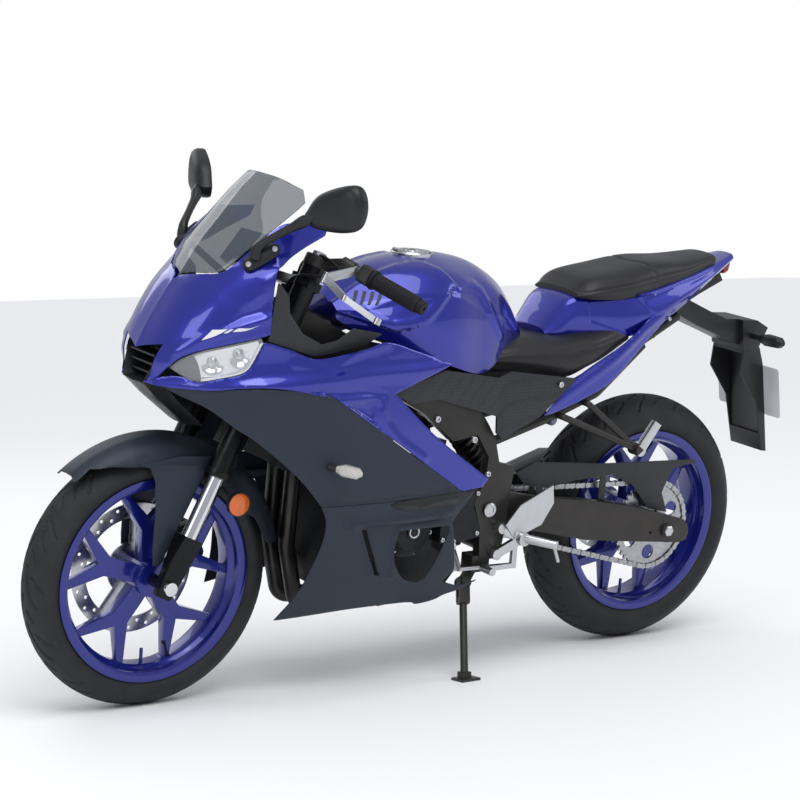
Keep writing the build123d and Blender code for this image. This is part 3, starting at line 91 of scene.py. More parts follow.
def look(name, hexa, rough, metal=0.0, coat=0.0, coat_rough=0.03, spec=0.5, alpha=1.0, vary=None, polish=None,
         grain=None, cells=None):
    """A material whose colour, roughness and bump swing with patterns over the piece.

    vary is (noise scale, detail, share), polish (noise scale, lowest, highest roughness), grain (noise
    scale, detail, strength, depth) and cells (cell scale, randomness, feature, share, strength, depth)."""
    mat = bpy.data.materials.new(name)
    mats[name] = mat
    mat.use_nodes = True
    tree = mat.node_tree
    shader = tree.nodes["Principled BSDF"]
    color = srgb(hexa)

    def put(node, **values):
        for key, value in values.items():
            node.inputs[key.replace("_", " ")].default_value = value
        return node

    put(shader, Base_Color=(*color, 1), Roughness=rough, Metallic=metal, Coat_Weight=coat, Alpha=alpha,
        Coat_Roughness=coat_rough, Specular_IOR_Level=spec, IOR=1.45)

    def pattern(kind, **values):
        made = put(tree.nodes.new(kind), **values)
        tree.links.new(tree.nodes.new("ShaderNodeTexCoord").outputs["Object"], made.inputs["Vector"])
        return made

    def noise(scale, detail=3.0):
        return pattern("ShaderNodeTexNoise", Scale=scale, Detail=detail, Roughness=0.5).outputs["Fac"]

    def swing(source, share, low=0.3, high=0.7):
        ramp = tree.nodes.new("ShaderNodeValToRGB")
        for end, place, factor in zip(ramp.color_ramp.elements, (low, high), (1 - share, 1 + share)):
            end.position = place
            end.color = (*(min(1, c * factor) for c in color), 1)
        tree.links.new(source, ramp.inputs["Fac"])
        tree.links.new(ramp.outputs["Color"], shader.inputs["Base Color"])

    def bump(source, strength, depth):
        made = put(tree.nodes.new("ShaderNodeBump"), Strength=strength, Distance=depth)
        tree.links.new(source, made.inputs["Height"])
        tree.links.new(made.outputs["Normal"], shader.inputs["Normal"])

    if vary:
        swing(noise(*vary[:2]), vary[2])
    if polish:
        limits = put(tree.nodes.new("ShaderNodeMapRange"), From_Min=0.3, From_Max=0.7, To_Min=polish[1],
                     To_Max=polish[2])
        tree.links.new(noise(polish[0]), limits.inputs["Value"])
        tree.links.new(limits.outputs["Result"], shader.inputs["Roughness"])
    if grain:
        bump(noise(*grain[:2]), *grain[2:])
    if cells:
        scale, randomness, feature, share, strength, depth = cells
        made = pattern("ShaderNodeTexVoronoi", Scale=scale, Randomness=randomness)
        made.feature = feature
        # A share darkens the colour towards the cell edges, in the grooves the bump sinks there: painted shade.
        if share:
            swing(made.outputs["Distance"], share, 0.0, 0.25)
        bump(made.outputs["Distance"], strength, depth)


look("blue_gloss", "151F94", 0.28, metal=0.6, coat=1.0, coat_rough=0.02, vary=(900, 2, 0.22))
look("slate_matte", "262E3A", 0.46, metal=0.25, spec=0.45, vary=(700, 2, 0.06), grain=(1400, 1, 0.04, 0.0004))
look("black_plastic", "131416", 0.42, vary=(60, 3, 0.15), grain=(1800, 1, 0.08, 0.0004))
look("grey_plastic", "26282C", 0.55, vary=(50, 3, 0.1), grain=(1500, 1, 0.12, 0.0005))
# The cover's cells are darker in their grooves at the edges: painted shade.
look("texture_cover", "202226", 0.5, cells=(130, 0.25, "DISTANCE_TO_EDGE", 0.35, 0.35, 0.0012))
look("frame_dark", "363432", 0.36, metal=0.5, vary=(30, 3, 0.1), grain=(900, 2, 0.08, 0.0005))
look("cast_dark", "27282C", 0.5, metal=0.6, vary=(45, 3, 0.15), grain=(650, 3, 0.2, 0.0007))
look("silver_cast", "BFC1C4", 0.3, metal=1.0, vary=(40, 3, 0.03), grain=(900, 2, 0.04, 0.0003))
look("fork_dark", "17181A", 0.28, metal=0.6, polish=(30, 0.22, 0.34))
look("fork_chrome", "D5D7DA", 0.1, metal=1.0, polish=(60, 0.07, 0.14))
look("pipe_steel", "3B3938", 0.4, metal=0.9, vary=(12, 3, 0.3), polish=(40, 0.3, 0.5))
look("muffler_steel", "4A4B4E", 0.35, metal=0.9, polish=(60, 0.28, 0.42))
look("radiator_black", "1B1C1E", 0.5, metal=0.3, vary=(60, 3, 0.2))
look("wheel_blue", "15207E", 0.28, metal=0.45, coat=0.8, coat_rough=0.04, vary=(800, 2, 0.15))
look("disc_steel", "B9BBBE", 0.3, metal=1.0, polish=(60, 0.24, 0.32))
look("chain_steel", "A6A8AB", 0.32, metal=1.0, vary=(120, 3, 0.15))
look("tyre_rubber", "232426", 0.62, spec=0.35, vary=(25, 3, 0.18), grain=(700, 3, 0.12, 0.0005))
look("rubber_black", "111113", 0.6, spec=0.35, vary=(80, 3, 0.15), grain=(900, 2, 0.15, 0.0005))
look("seat_vinyl", "18181A", 0.42, vary=(20, 3, 0.15), cells=(520, 1.0, "SMOOTH_F1", 0, 0.22, 0.0006))
look("smoke_screen", "4A535C", 0.04, alpha=0.68, spec=0.6, coat=0.4, polish=(9, 0.03, 0.06))
look("lamp_glass", "E8ECF0", 0.03, alpha=0.12, spec=0.7, coat=0.6, polish=(9, 0.02, 0.05))
look("clear_lens", "B9B7B0", 0.12, spec=0.6, coat=0.5, vary=(120, 3, 0.08))
look("red_lens", "8E1013", 0.12, coat=0.6, vary=(120, 3, 0.1))
look("plate_white", "D9DBDE", 0.35, vary=(18, 3, 0.03))
look("amber_lens", "D8620E", 0.15, coat=0.6, spec=0.6, vary=(120, 3, 0.1))
slot_of = {s["node"]: s["material_slot"] for s in frame["record"]["subparts"]}
for name, obj in nodes.items():
    obj.data.materials.clear()
    obj.data.materials.append(mats[slot_of[name]])


def make_stage():
    """A pale floor, a plain world that the camera sees as white, and soft lamps."""
    world = bpy.data.worlds.new("studio")
    bpy.context.scene.world = world
    world.use_nodes = True
    tree = world.node_tree
    tree.nodes.clear()
    out, path, mix, most, plain, white = [tree.nodes.new("ShaderNode" + kind) for kind in (
        "OutputWorld", "LightPath", "MixShader", "Math", "Background", "Background")]
    for node, color, strength in ((plain, (0.92, 0.94, 1.0, 1), 0.55), (white, (1, 1, 1, 1), 1.0)):
        node.inputs["Color"].default_value = color
        node.inputs["Strength"].default_value = strength
    most.operation = "MAXIMUM"
    for source, target in ((path.outputs["Is Camera Ray"], most.inputs[0]),
                           (path.outputs["Is Transmission Ray"], most.inputs[1]),
                           (most.outputs[0], mix.inputs["Fac"]), (plain.outputs[0], mix.inputs[1]),
                           (white.outputs[0], mix.inputs[2]), (mix.outputs[0], out.inputs["Surface"])):
        tree.links.new(source, target)

    half = 30.0
    mesh = bpy.data.meshes.new("floor")
    mesh.from_pydata([(-half, -half, 0), (half, -half, 0), (half, half, 0), (-half, half, 0)], [], [(0, 1, 2, 3)])
    pale = bpy.data.materials.new("floor_pale")
    pale.use_nodes = True
    inputs = pale.node_tree.nodes["Principled BSDF"].inputs
    inputs["Base Color"].default_value = (0.95, 0.95, 0.95, 1)
    inputs["Roughness"].default_value = 0.6
    mesh.materials.append(pale)
    add("floor", mesh)

    def lamp(name, kind, power, aim):
        data = bpy.data.lights.new(name, kind)
        data.energy = power
        made = add(name, data)
        made.rotation_mode = "QUATERNION"
        made.rotation_quaternion = Vector(aim).to_track_quat("-Z", "Y")
        return made

    lamp("sun", "SUN", 1.4, (-0.15, -0.45, -1.0)).data.angle = radians(50)
    squares = [("key", (1.5, 4.2, 4.6), 2.2, 50.0), ("front", (5.0, 1.5, 2.8), 2.0, 34.0),
               ("rear", (-4.5, 2.5, 3.2), 2.0, 28.0), ("right", (0.5, -4.5, 3.6), 2.4, 26.0)]
    for name, place, size, power in squares:
        made = lamp(name, "AREA", power, Vector((0, 0, 0.5)) - Vector(place))
        made.data.shape = "SQUARE"
        made.data.size = size
        made.location = place


@contextmanager
def opened(mesh):
    """The mesh as a bmesh, written back at the end."""
    bm = bmesh.new()
    bm.from_mesh(mesh)
    yield bm
    bm.to_mesh(mesh)
    bm.free()


def placed(name, mesh, body, replaces, angle):
    """The mesh, smooth but for edges turned more than the angle, as an object that rides on a body."""
    with opened(mesh) as bm:
        for face in bm.faces:
            face.smooth = True
        for edge in bm.edges:
            if len(edge.link_faces) == 2:
                edge.smooth = edge.calc_face_angle(0.0) < radians(angle)
    obj = add(name, mesh)
    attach(obj, body)
    if replaces:
        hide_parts(*replaces)
    return obj


def joined(shapes):
    """One (verts, faces) from several."""
    verts, faces = [], []
    for more_verts, more_faces in shapes:
        base = len(verts)
        verts.extend(more_verts)
        faces.extend([tuple(base + i for i in face) for face in more_faces])
    return verts, faces


def mirrored(*shapes):
    """The shapes and their mirror images on the bike's other side."""
    return [*shapes, *(([(x, -y, z) for x, y, z in verts], [face[::-1] for face in faces])
                       for verts, faces in shapes)]


def leaned_mesh(name, shapes, weld=0.01):
    """A mesh of shapes in upright millimetres, leaned with the bike."""
    mesh = bpy.data.meshes.new(name)
    verts, faces = joined(shapes)
    mesh.from_pydata([tuple(v) for v in verts], [], faces)
    with opened(mesh) as bm:
        if weld:
            bmesh.ops.remove_doubles(bm, verts=bm.verts, dist=weld)
        bmesh.ops.recalc_face_normals(bm, faces=bm.faces)
    mesh.transform(lean)
    return mesh


def piece(name, shapes, mat, body="frame", replaces=(), angle=32.0, cuts=(), weld=0.01):
    """A piece from a list of (verts, faces), less the closed shapes that cut it."""
    mesh = leaned_mesh(name, shapes, weld)
    mesh.materials.append(mats[mat])
    for shape in cuts:
        body_obj = add(name, mesh)
        cutter = add("cutter", leaned_mesh("cutter", [shape], 0))
        cut = body_obj.modifiers.new("cut", "BOOLEAN")
        cut.operation = "DIFFERENCE"
        cut.solver = "EXACT"
        cut.object = cutter
        bpy.context.view_layer.update()
        mesh = bpy.data.meshes.new_from_object(body_obj.evaluated_get(bpy.context.evaluated_depsgraph_get()))
        bpy.data.objects.remove(cutter)
        bpy.data.objects.remove(body_obj)
        angle = 30.0
    return placed(name, mesh, body, replaces, angle)


def curve(a, b, c, d, u):
    """Catmull-Rom from b to c."""
    return tuple(0.5 * (2 * q + (r - p) * u + (2 * p - 5 * q + 4 * r - w) * u * u
                        + (3 * q - p - 3 * r + w) * u ** 3) for p, q, r, w in zip(a, b, c, d))


def spline(values, t):
    """A smooth line through tuples at whole steps, at t from 0 to len - 1."""
    last = len(values) - 1
    i = min(max(int(t), 0), last - 1)
    b, c = values[i], values[i + 1]
    a = values[i - 1] if i > 0 else tuple(2 * p - q for p, q in zip(b, c))
    d = values[i + 2] if i + 2 <= last else tuple(2 * q - p for p, q in zip(b, c))
    return curve(a, b, c, d, t - i)


class Surface:
    """A left-hand skin, smooth through rows of (z, points from the nose back)."""

    across = 128

    def __init__(self, rows):
        rows = sorted(rows)
        self.heights = [z for z, _ in rows]
        lines = [[spline(points, i / self.across * (len(points) - 1)) for i in range(self.across + 1)]
                 for _, points in rows]
        self.columns = list(zip(*lines))
        self.store = {}

    def level(self, z):
        """The row of points at height z."""
        key = round(z, 2)
        if key not in self.store:
            heights = self.heights
            z = min(max(key, heights[0]), heights[-1])
            i = 0
            while i < len(heights) - 2 and z > heights[i + 1]:
                i += 1
            t = i + (z - heights[i]) / (heights[i + 1] - heights[i])
            self.store[key] = [spline(column, t) for column in self.columns]
        return self.store[key]

    def share(self, x, z):
        """How far along its row the point at x lies, from 0 to 1."""
        row = self.level(z)
        if x >= row[0][0]:
            return 0.0
        for j, (near, far) in enumerate(zip(row, row[1:])):
            if near[0] >= x >= far[0] and near[0] > far[0]:
                return (j + (near[0] - x) / (near[0] - far[0])) / self.across
        return 1.0

    def point(self, s, z):
        row = self.level(z)
        t = min(max(s, 0.0), 1.0) * self.across
        j = min(int(t), self.across - 1)
        x, y = [a + (b - a) * (t - j) for a, b in zip(row[j], row[j + 1])]
        return Vector((x, y, z))

    def normal(self, s, z):
        step_s, step_z = 0.01, 3.0
        along = self.point(min(s + step_s, 1), z) - self.point(max(s - step_s, 0), z)
        got = along.cross(self.point(s, z + step_z) - self.point(s, z - step_z))
        if got.length < 1e-6:
            return Vector((1, 0, 0))
        got.normalize()
        return got if got.y + 0.3 * got.x > 0 else -got


def smooth_line(points, step, corner=38.0):
    """A denser closed line through the points: curved, but with its corners kept."""
    count = len(points)
    corners = []
    for i in range(count):
        a, b, c = points[i - 1], points[i], points[(i + 1) % count]
        bend = atan2(c[1] - b[1], c[0] - b[0]) - atan2(b[1] - a[1], b[0] - a[0])
        if degrees(abs((bend + pi) % (2 * pi) - pi)) > corner:
            corners.append(i)
    corners = corners or [0]
    line = []
    for start, end in zip(corners, corners[1:] + [corners[0] + count]):
        run = [points[i % count] for i in range(start, end + 1)]
        for i in range(len(run) - 1):
            parts = max(1, int(hypot(run[i + 1][0] - run[i][0], run[i + 1][1] - run[i][1]) / step + 0.5))
            line += [spline(run, i + k / parts) for k in range(parts)]
    return line


def inside(point, polygon):
    x, z = point
    hit = False
    for (x1, z1), (x2, z2) in zip(polygon, polygon[1:] + polygon[:1]):
        if (z1 > z) != (z2 > z) and x < (x2 - x1) * (z - z1) / (z2 - z1) + x1:
            hit = not hit
    return hit


def to_line(x, y, line):
    """The distance from a place to a line of places."""
    best = 1e9
    for (x1, y1), (x2, y2) in zip(line, line[1:]):
        dx, dy = x2 - x1, y2 - y1
        length = dx * dx + dy * dy
        t = max(0.0, min(1.0, ((x - x1) * dx + (y - y1) * dy) / length)) if length else 0.0
        best = min(best, hypot(x - x1 - t * dx, y - y1 - t * dy))
    return best


def ease(t):
    t = max(0.0, min(1.0, t))
    return t * t * (3 - 2 * t)


def relief_at(x, z, relief):
    """Height of the raised and sunk features at (x, z), in millimetres outward."""
    total = 0.0
    for kind, line, width, height in relief:
        if kind == "ridge":
            total += height * ease(1 - to_line(x, z, line) / width)
        elif inside((x, z), line):
            total += height * ease(to_line(x, z, line + line[:1]) / width)
    return total


def panel_shape(surface, outline, thickness=3.0, step=9.0, relief=(), lip=1.2, lift=0.0, holes=(), centre=False):
    """(verts, faces) of a closed panel over an outline in the side view, laid on a surface.

    With centre, its front edge lies open in the bike's middle plane."""
    flat_scale, closest, margin = 800.0, 0.4, 2.2
    rings, points, edges = [], [], []
    for line in (outline, *holes):
        ring = []
        for x, z in smooth_line(line, step):
            p = Vector((surface.share(x, z) * flat_scale, z))
            if not ring or (p - ring[-1]).length > closest:
                ring.append(p)
        if (ring[0] - ring[-1]).length < closest:
            ring.pop()
        base, count = len(points), len(ring)
        points += ring
        edges += [(base + i, base + (i + 1) % count) for i in range(count)]
        rings.append(ring)
    edge_count = len(points)
    lines = [[(p.x, p.y) for p in ring] for ring in rings]

    def within(p):
        return inside(p, lines[0]) and not any(inside(p, hole) for hole in lines[1:])

    for ring in rings:
        for a, b, c in zip(ring[-1:] + ring, ring, ring[1:] + ring[:1]):
            along = c - a
            if along.length < 1e-6:
                continue
            across = Vector((-along.y, along.x)).normalized() * margin
            points += [p for p in (b + across, b - across) if within(p) and not (centre and p.x < 1.0)]
    low_x, high_x = min(x for x, _ in lines[0]), max(x for x, _ in lines[0])
    low_z, high_z = min(z for _, z in lines[0]), max(z for _, z in lines[0])
    near = step * 0.55
    cells = {}
    for q in points[:edge_count]:
        cells.setdefault((int(q.x / near), int(q.y / near)), []).append(q)
    row, z = 0, low_z
    while z < high_z:
        x = low_x + (step / 2 if row % 2 else 0)
        while x < high_x:
            p = Vector((x, z))
            if within(p):
                col, line = int(x / near), int(z / near)
                around = [q for i in (-1, 0, 1) for j in (-1, 0, 1) for q in cells.get((col + i, line + j), ())]
                if all((p - q).length > near for q in around):
                    points.append(p)
            x += step
        z += step * 0.87
        row += 1
    flats, _, triangles, sources = delaunay_2d_cdt(points, edges, [], 1, 0.05)[:4]
    kept = [tuple(tri) for tri in triangles if within(sum((flats[i] for i in tri), Vector((0, 0))) / 3)]
    outer, inner = [], []
    for p, ids in zip(flats, sources):
        s = p.x / flat_scale
        at, out = surface.point(s, p.y), surface.normal(s, p.y)
        rim = lip if any(k < edge_count for k in ids) else 0.0
        if centre and s < 0.002:
            out = Vector((out.x, 0, out.z)).normalized()
            rim = 0.0
        height = relief_at(at.x, at.z, relief) + lift
        outer.append(at + out * (height - rim))
        inner.append(at + out * (height - thickness))
    used = dict.fromkeys((a, b) for tri in kept for a, b in zip(tri, tri[1:] + tri[:1]))
    base = len(outer)
    faces = kept + [(c + base, b + base, a + base) for a, b, c in kept]
    for a, b in used:
        if (b, a) not in used and not (centre and flats[a].x < 1.0 and flats[b].x < 1.0):
            faces.append((b, a, a + base, b + base))
    verts = outer + inner
    for i, p in enumerate(flats):
        if centre and p.x < 1.0:
            verts[i].y = verts[i + base].y = 0.0
    live = sorted({i for face in faces for i in face})
    renumber = {old: new for new, old in enumerate(live)}
    return [tuple(verts[i]) for i in live], [tuple(renumber[i] for i in face) for face in faces]


def panel(name, surface, outline, mat, replaces=(), angle=40.0, cuts=(), **options):
    """A pair of panels, left and right, as one piece."""
    shapes = mirrored(panel_shape(surface, outline, **options))
    return piece(name, shapes, mat, replaces=replaces, angle=angle, cuts=cuts)


def path(text):
    """Points from their coordinates, such as "560,0 546,68"."""
    return [tuple(map(float, point.split(","))) for point in text.split()]


def rows(text):
    """Sections from lines of a place and the points there."""
    lines = [line.split(None, 1) for line in text.strip().splitlines()]
    return [(float(place), path(points)) for place, points in lines]


# Rows of the fairing's left-hand skins: height, then x,y from the nose back
cowl_rows = rows("""
    1092 560,0 546,68 489,137 440,150 405,155 372,157
    1030 607,0 597,64 564,131 500,158 447,166 380,168
    975 643,0 634,60 606,112 566,158 522,190 400,200
    920 680,0 673,62 646,120 600,168 530,198 420,208
    862 714,0 706,62 680,118 626,174 542,205 430,214
    800 742,0 731,62 704,118 646,168 556,206 440,222
    736 754,0 750,48 720,86 650,166 548,226 450,242""")
side_rows = rows("""
    872 706,62 680,118 626,172 542,205 421,215 240,210 20,196
    800 731,62 704,118 646,168 556,206 421,226 240,224 20,206
    736 750,48 720,86 650,166 548,228 400,248 220,234 0,214
    650 716,72 676,150 612,208 545,236 400,256 180,244 -30,220
    565 660,130 600,196 540,232 440,258 300,260 120,246 -70,226
    490 620,160 560,200 500,230 400,256 260,260 80,248 -90,230
    410 560,170 500,204 450,224 370,242 240,244 100,240 -90,234
    300 540,160 480,184 430,198 340,212 220,220 100,220 -90,218
    200 520,134 470,148 420,158 340,166 220,172 100,176 -90,182""")
screen_rows = rows("""
    1190 466,0 450,52 398,96 370,112
    1140 515,0 499,62 440,118 410,134
    1090 556,0 541,68 489,134 450,152
    1030 604,0 593,64 562,128 520,150
    985 634,0 624,60 600,108 560,150
    945 662,0 654,48 630,94 590,140""")
cowl, sides, shield = Surface(cowl_rows), Surface(side_rows), Surface(screen_rows)

# Side-view outlines of the panels, x,z, and the creases pressed into them
screen_outline = path("""
    662,949 640,972 603,986 564,1029 489,1088 424,1134 419,1160 471,1186 560,1186 720,1000 700,930""")
cowl_outline = path("""
    780,738 752,742 733,755 717,783 700,806 667,826 615,843 555,858 535,864 522,974 492,1008 447,1036
    385,1066 375,1090 440,1090 488,1087 562,1028 602,985 640,971 662,948 700,960 790,860""")
lamp_outline = path("""
    718,781 700,804 667,824 615,841 556,856 550,846 572,803 592,782 637,767 672,757 693,764""")
side_outline = path("""
    752,741 735,753 716,761 693,763 672,756 637,766 591,781 571,802 549,845 538,846 485,830 421,810
    302,826 239,838 150,812 57,782 140,752 221,726 107,626 -58,513 -41,495 -12,493 17,488 375,719
    413,731 482,746 544,752 600,750 647,742 720,738""")
mid_outline = path("""
    719,737 647,741 600,749 544,751 482,745 413,730 376,718 18,487 221,488 326,489 408,489 421,504
    479,565 570,639 608,664 656,702 703,725""")
belly_outline = path("""
    408,488 326,488 221,487 18,486 -23,492 20,448 40,418 35,409 8,301 33,271 -18,255 -67,264 -30,244
    12,233 38,221 84,215 115,223 272,221 448,208 415,274 397,347 387,407 391,455""")
cover_window = path("47,413 188,413 192,374 181,329 149,291 109,276 88,284 68,330 44,400")
slot_window = path("296,426 276,422 221,310 236,312")
vent_outline = path("226,478 210,485 148,489 55,491 -14,491 8,472 43,464 146,461 192,465")
side_relief = [
    ("ridge", path("721,736 647,742 530,755 420,764 300,770 160,770 61,776"), 26.0, 7.0),
    ("sink", path("530,752 430,734 378,721 263,721 236,727 300,752 420,756"), 14.0, -6.0),
    ("ridge", path("480,800 395,787 317,822 239,836"), 16.0, 3.0),
    ("sink", path("376,718 262,720 262,700 268,676 256,652 226,622"), 14.0, -9.0),
    ("ridge", path("262,706 252,660 218,622 142,574"), 22.0, 4.0),
]
mid_relief = [
    ("ridge", path("719,737 600,748 482,744 376,717 200,604 18,488"), 16.0, 3.0),
    ("sink", path("408,488 430,515 470,556 413,533 349,508 221,505 113,510 -6,514 18,487"), 12.0, -5.0),
]
belly_relief = [
    ("ridge", path("331,440 286,443 200,440 99,441 44,449"), 13.0, 8.0),
    ("ridge", path("331,440 288,416 262,371 238,314 183,302"), 10.0, 6.0),
    ("sink", path("""
        330,436 296,426 262,371 226,306 190,296 180,329 192,374 190,418 60,418 60,436 200,434"""), 9.0, -5.0),
]
cowl_relief = [
    ("ridge", path("509,1000 564,984 621,942 671,876 708,817 720,790"), 34.0, 7.0),
    ("ridge", path("661,950 688,906 729,839 745,809"), 30.0, 5.0),
    ("ridge", path("535,901 587,886 641,862 672,841 703,816"), 16.0, 3.5),
    ("sink", path("524,964 545,950 600,925 640,880 660,850 600,874 534,894"), 26.0, -7.0),
]


def make_fairing():
    mouth = [(0, 808), (30, 817), (80, 828), (52, 730), (-52, 730), (-80, 828), (-30, 817)]
    duct_room = ringed([[(x, y, z) for y, z in mouth] for x in (690, 800)])
    panel("front_cowl_skin", cowl, cowl_outline, "blue_gloss", ("front_cowl",), cuts=(duct_room,), step=6.5,
          relief=cowl_relief, centre=True)
    panel("side_panel_skins", sides, side_outline, "blue_gloss", ("side_panels",), relief=side_relief, step=6.0)
    panel("mid_panel_skins", sides, mid_outline, "slate_matte", ("mid_panels",), relief=mid_relief)
    panel("belly_panel_skins", sides, belly_outline, "slate_matte", ("belly_panels",), relief=belly_relief,
          holes=(cover_window, slot_window))
    panel("side_vents", sides, vent_outline, "black_plastic", relief=[
        ("ridge", [(215, 476), (140, 473), (40, 476)], 7.0, 5.0)], lift=3.0, thickness=9.0, step=6.0)
    panel("screen", shield, screen_outline, "smoke_screen", ("windscreen",), 50, thickness=3.5, centre=True,
          lip=0.6)


def dress(node, body, width=1.2, mat=None, other=None):
    """A copy of a node's solid with its sharp edges rounded and its curves shaded smooth.

    other is (material, test on a place of the upright bike) for a second material."""
    weld, shortest, flat, sharp_angle = 2e-6, 0.0015, 0.6, 34.0
    mesh = nodes[node].data.copy()
    mesh.transform(nodes[node].matrix_world)
    with opened(mesh) as bm:
        bmesh.ops.remove_doubles(bm, verts=bm.verts, dist=weld)
        bmesh.ops.dissolve_degenerate(bm, dist=1e-6, edges=bm.edges)
        bmesh.ops.dissolve_limit(bm, angle_limit=radians(flat), verts=bm.verts, edges=bm.edges)
        if width:
            sharp = [e for e in bm.edges if len(e.link_faces) == 2 and e.calc_length() > shortest
                     and e.calc_face_angle(0.0) > radians(sharp_angle)]
            bmesh.ops.bevel(bm, geom=sharp, offset=width / 1000, offset_type="OFFSET", segments=2, profile=0.6,
                            affect="EDGES", clamp_overlap=True, miter_outer="ARC")
        bmesh.ops.triangulate(bm, faces=[f for f in bm.faces if len(f.verts) > 4])
        bmesh.ops.recalc_face_normals(bm, faces=bm.faces)
    mesh.materials.clear()
    mesh.materials.append(mats[mat or slot_of[node]])
    if other:
        mesh.materials.append(mats[other[0]])
        for face in mesh.polygons:
            face.material_index = 1 if other[1](upright @ face.center) else 0
    placed(node + "_dressed", mesh, body, (node,), sharp_angle)


def body_shape(sections, creases=(), along=20, across=12, relief=(), side_y=30.0):
    """(verts, faces) of a closed body, smooth through half sections and between its creases."""
    count = len(sections[0][1])
    stops = sorted({0, count - 1, *creases})
    lines = [[(x, *points[k]) for x, points in sections] for k in range(count)]
    verts, faces = [], []
    steps = (len(sections) - 1) * along
    wide = 2 * (count - 1) * across + 1
    for i in range(steps + 1):
        knots = [spline(line, i / along) for line in lines]
        half = []
        for low, high in zip(stops, stops[1:]):
            run = knots[low:high + 1]
            if low == 0:
                run = [(run[1][0], -run[1][1], run[1][2])] + run
            offset = 0 if low else 1
            half += [spline(run, offset + j / across) for j in range((high - low) * across)]
        half.append(knots[-1])
        half[0] = (half[0][0], 0.0, half[0][2])
        verts += [(x, -y, z) for x, y, z in half[:0:-1]] + half
    for i in range(steps):
        for j in range(wide):
            a, b = i * wide + j, i * wide + (j + 1) % wide
            faces.append((a, b, b + wide, a + wide))
    for base in (0, steps * wide):
        hub = len(verts)
        verts.append(tuple(sum(v[k] for v in verts[base:base + wide]) / wide for k in range(3)))
        fan = [(hub, base + (j + 1) % wide, base + j) for j in range(wide)]
        faces += [face if base == 0 else (face[0], face[2], face[1]) for face in fan]
    return raised(verts, faces, relief, side_y) if relief else verts, faces


def raised(verts, faces, relief, side_y):
    """The body's points with its side relief moved along their normals."""
    points = [Vector(v) for v in verts]
    normals = [Vector((0, 0, 0)) for _ in verts]
    for face in faces:
        normal = (points[face[1]] - points[face[0]]).cross(points[face[2]] - points[face[0]])
        for i in face:
            normals[i] += normal
    for point, normal in zip(points, normals):
        normal.normalize()
        if abs(point.y) >= side_y and abs(normal.y) >= 0.15:
            height = relief_at(point.x, point.z, relief) * ease((abs(point.y) - side_y) / 12.0)
            point += normal * (height if normal.y * point.y > 0 else -height)
    return [tuple(point) for point in points]


class Draped:
    """The left side of a shape seen from the side, to lay thin pieces on."""

    front, scale, outside = 1200.0, 800.0, 600.0

    def __init__(self, shape):
        self.tree = BVHTree.FromPolygons([Vector(v) for v in shape[0]], shape[1])

    def share(self, x, z):
        return (self.front - x) / self.scale

    def hit(self, s, z):
        start = Vector((self.front - self.scale * s, self.outside, z))
        for rise in (0.0, 2.0, -2.0, 5.0, -5.0, 9.0, -9.0):
            got = self.tree.ray_cast(start + Vector((0, 0, rise)), Vector((0, -1, 0)))
            if got[0] is not None:
                return got
        return Vector((start.x, 0.0, z)), Vector((0, 1, 0))

    def point(self, s, z):
        return Vector((self.front - self.scale * s, self.hit(s, z)[0].y, z))

    def normal(self, s, z):
        got = self.hit(s, z)[1]
        return got if got.y > 0 else -got


def walls(rings, count):
    """Faces between whole rings of the same number of points."""
    return [(k * count + i, k * count + (i + 1) % count, (k + 1) * count + (i + 1) % count, (k + 1) * count + i)
            for k in range(rings - 1) for i in range(count)]


def ringed(rings):
    """(verts, faces) of a closed form through rings of points."""
    count = len(rings[0])
    verts = [v for ring in rings for v in ring]
    ends = [tuple(range(count)), tuple(range(len(verts) - count, len(verts)))[::-1]]
    return verts, ends + walls(len(rings), count)


def prism(outline, low, high):
    """A prism over a side outline of (x, z), from y = low to y = high."""
    return ringed([[(x, y, z) for x, z in outline] for y in (low, high)])


def tube(points, radii, sides=10, per=6):
    """A round tube on a smooth line through points; radii is one radius or one for each step."""
    line = [Vector(spline([tuple(p) for p in points], i / per)) for i in range((len(points) - 1) * per + 1)]
    across, rings = Vector(), []
    for i, p in enumerate(line):
        ahead = (line[min(i + 1, len(line) - 1)] - line[max(i - 1, 0)]).normalized()
        across = across - ahead * across.dot(ahead) if i else ahead.cross(Vector(
            (1, 0, 0) if abs(ahead.z) > 0.9 else (0, 0, 1)))
        across.normalize()
        other = ahead.cross(across)
        r = radii[i] if isinstance(radii, list) else radii
        turns = [2 * pi * k / sides for k in range(sides)]
        rings.append([tuple(p + (across * cos(a) + other * sin(a)) * r) for a in turns])
    return ringed(rings)


def turned(profile, centre, axis, sides=28):
    """A closed turned form: profile of (distance along the axis, radius)."""
    axis, centre = Vector(axis).normalized(), Vector(centre)
    side = axis.cross(Vector((0, 0, 1)) if abs(axis.z) < 0.9 else Vector((1, 0, 0))).normalized()
    other = axis.cross(side)
    verts, faces, rings = [], [], []
    for reach, radius in profile:
        count = 1 if radius < 1e-6 else sides
        rings.append(range(len(verts), len(verts) + count))
        turns = [2 * pi * k / sides for k in range(count)]
        verts += [tuple(centre + axis * reach + (side * cos(a) + other * sin(a)) * radius) for a in turns]
    for one, two in zip(rings, rings[1:]):
        for k in range(sides):
            n = k + 1
            corners = (one[k % len(one)], one[n % len(one)], two[n % len(two)], two[k % len(two)])
            face = tuple(dict.fromkeys(corners))
            if len(face) > 2:
                faces.append(face)
    return verts, faces + [tuple(ring) for ring in (rings[0], rings[-1]) if len(ring) > 1]


def drum(low, high, radius, centre, axis, sides=20):
    """A plain round bar from low to high along its axis."""
    return turned([(low, 0), (low, radius), (high, radius), (high, 0)], centre, axis, sides)


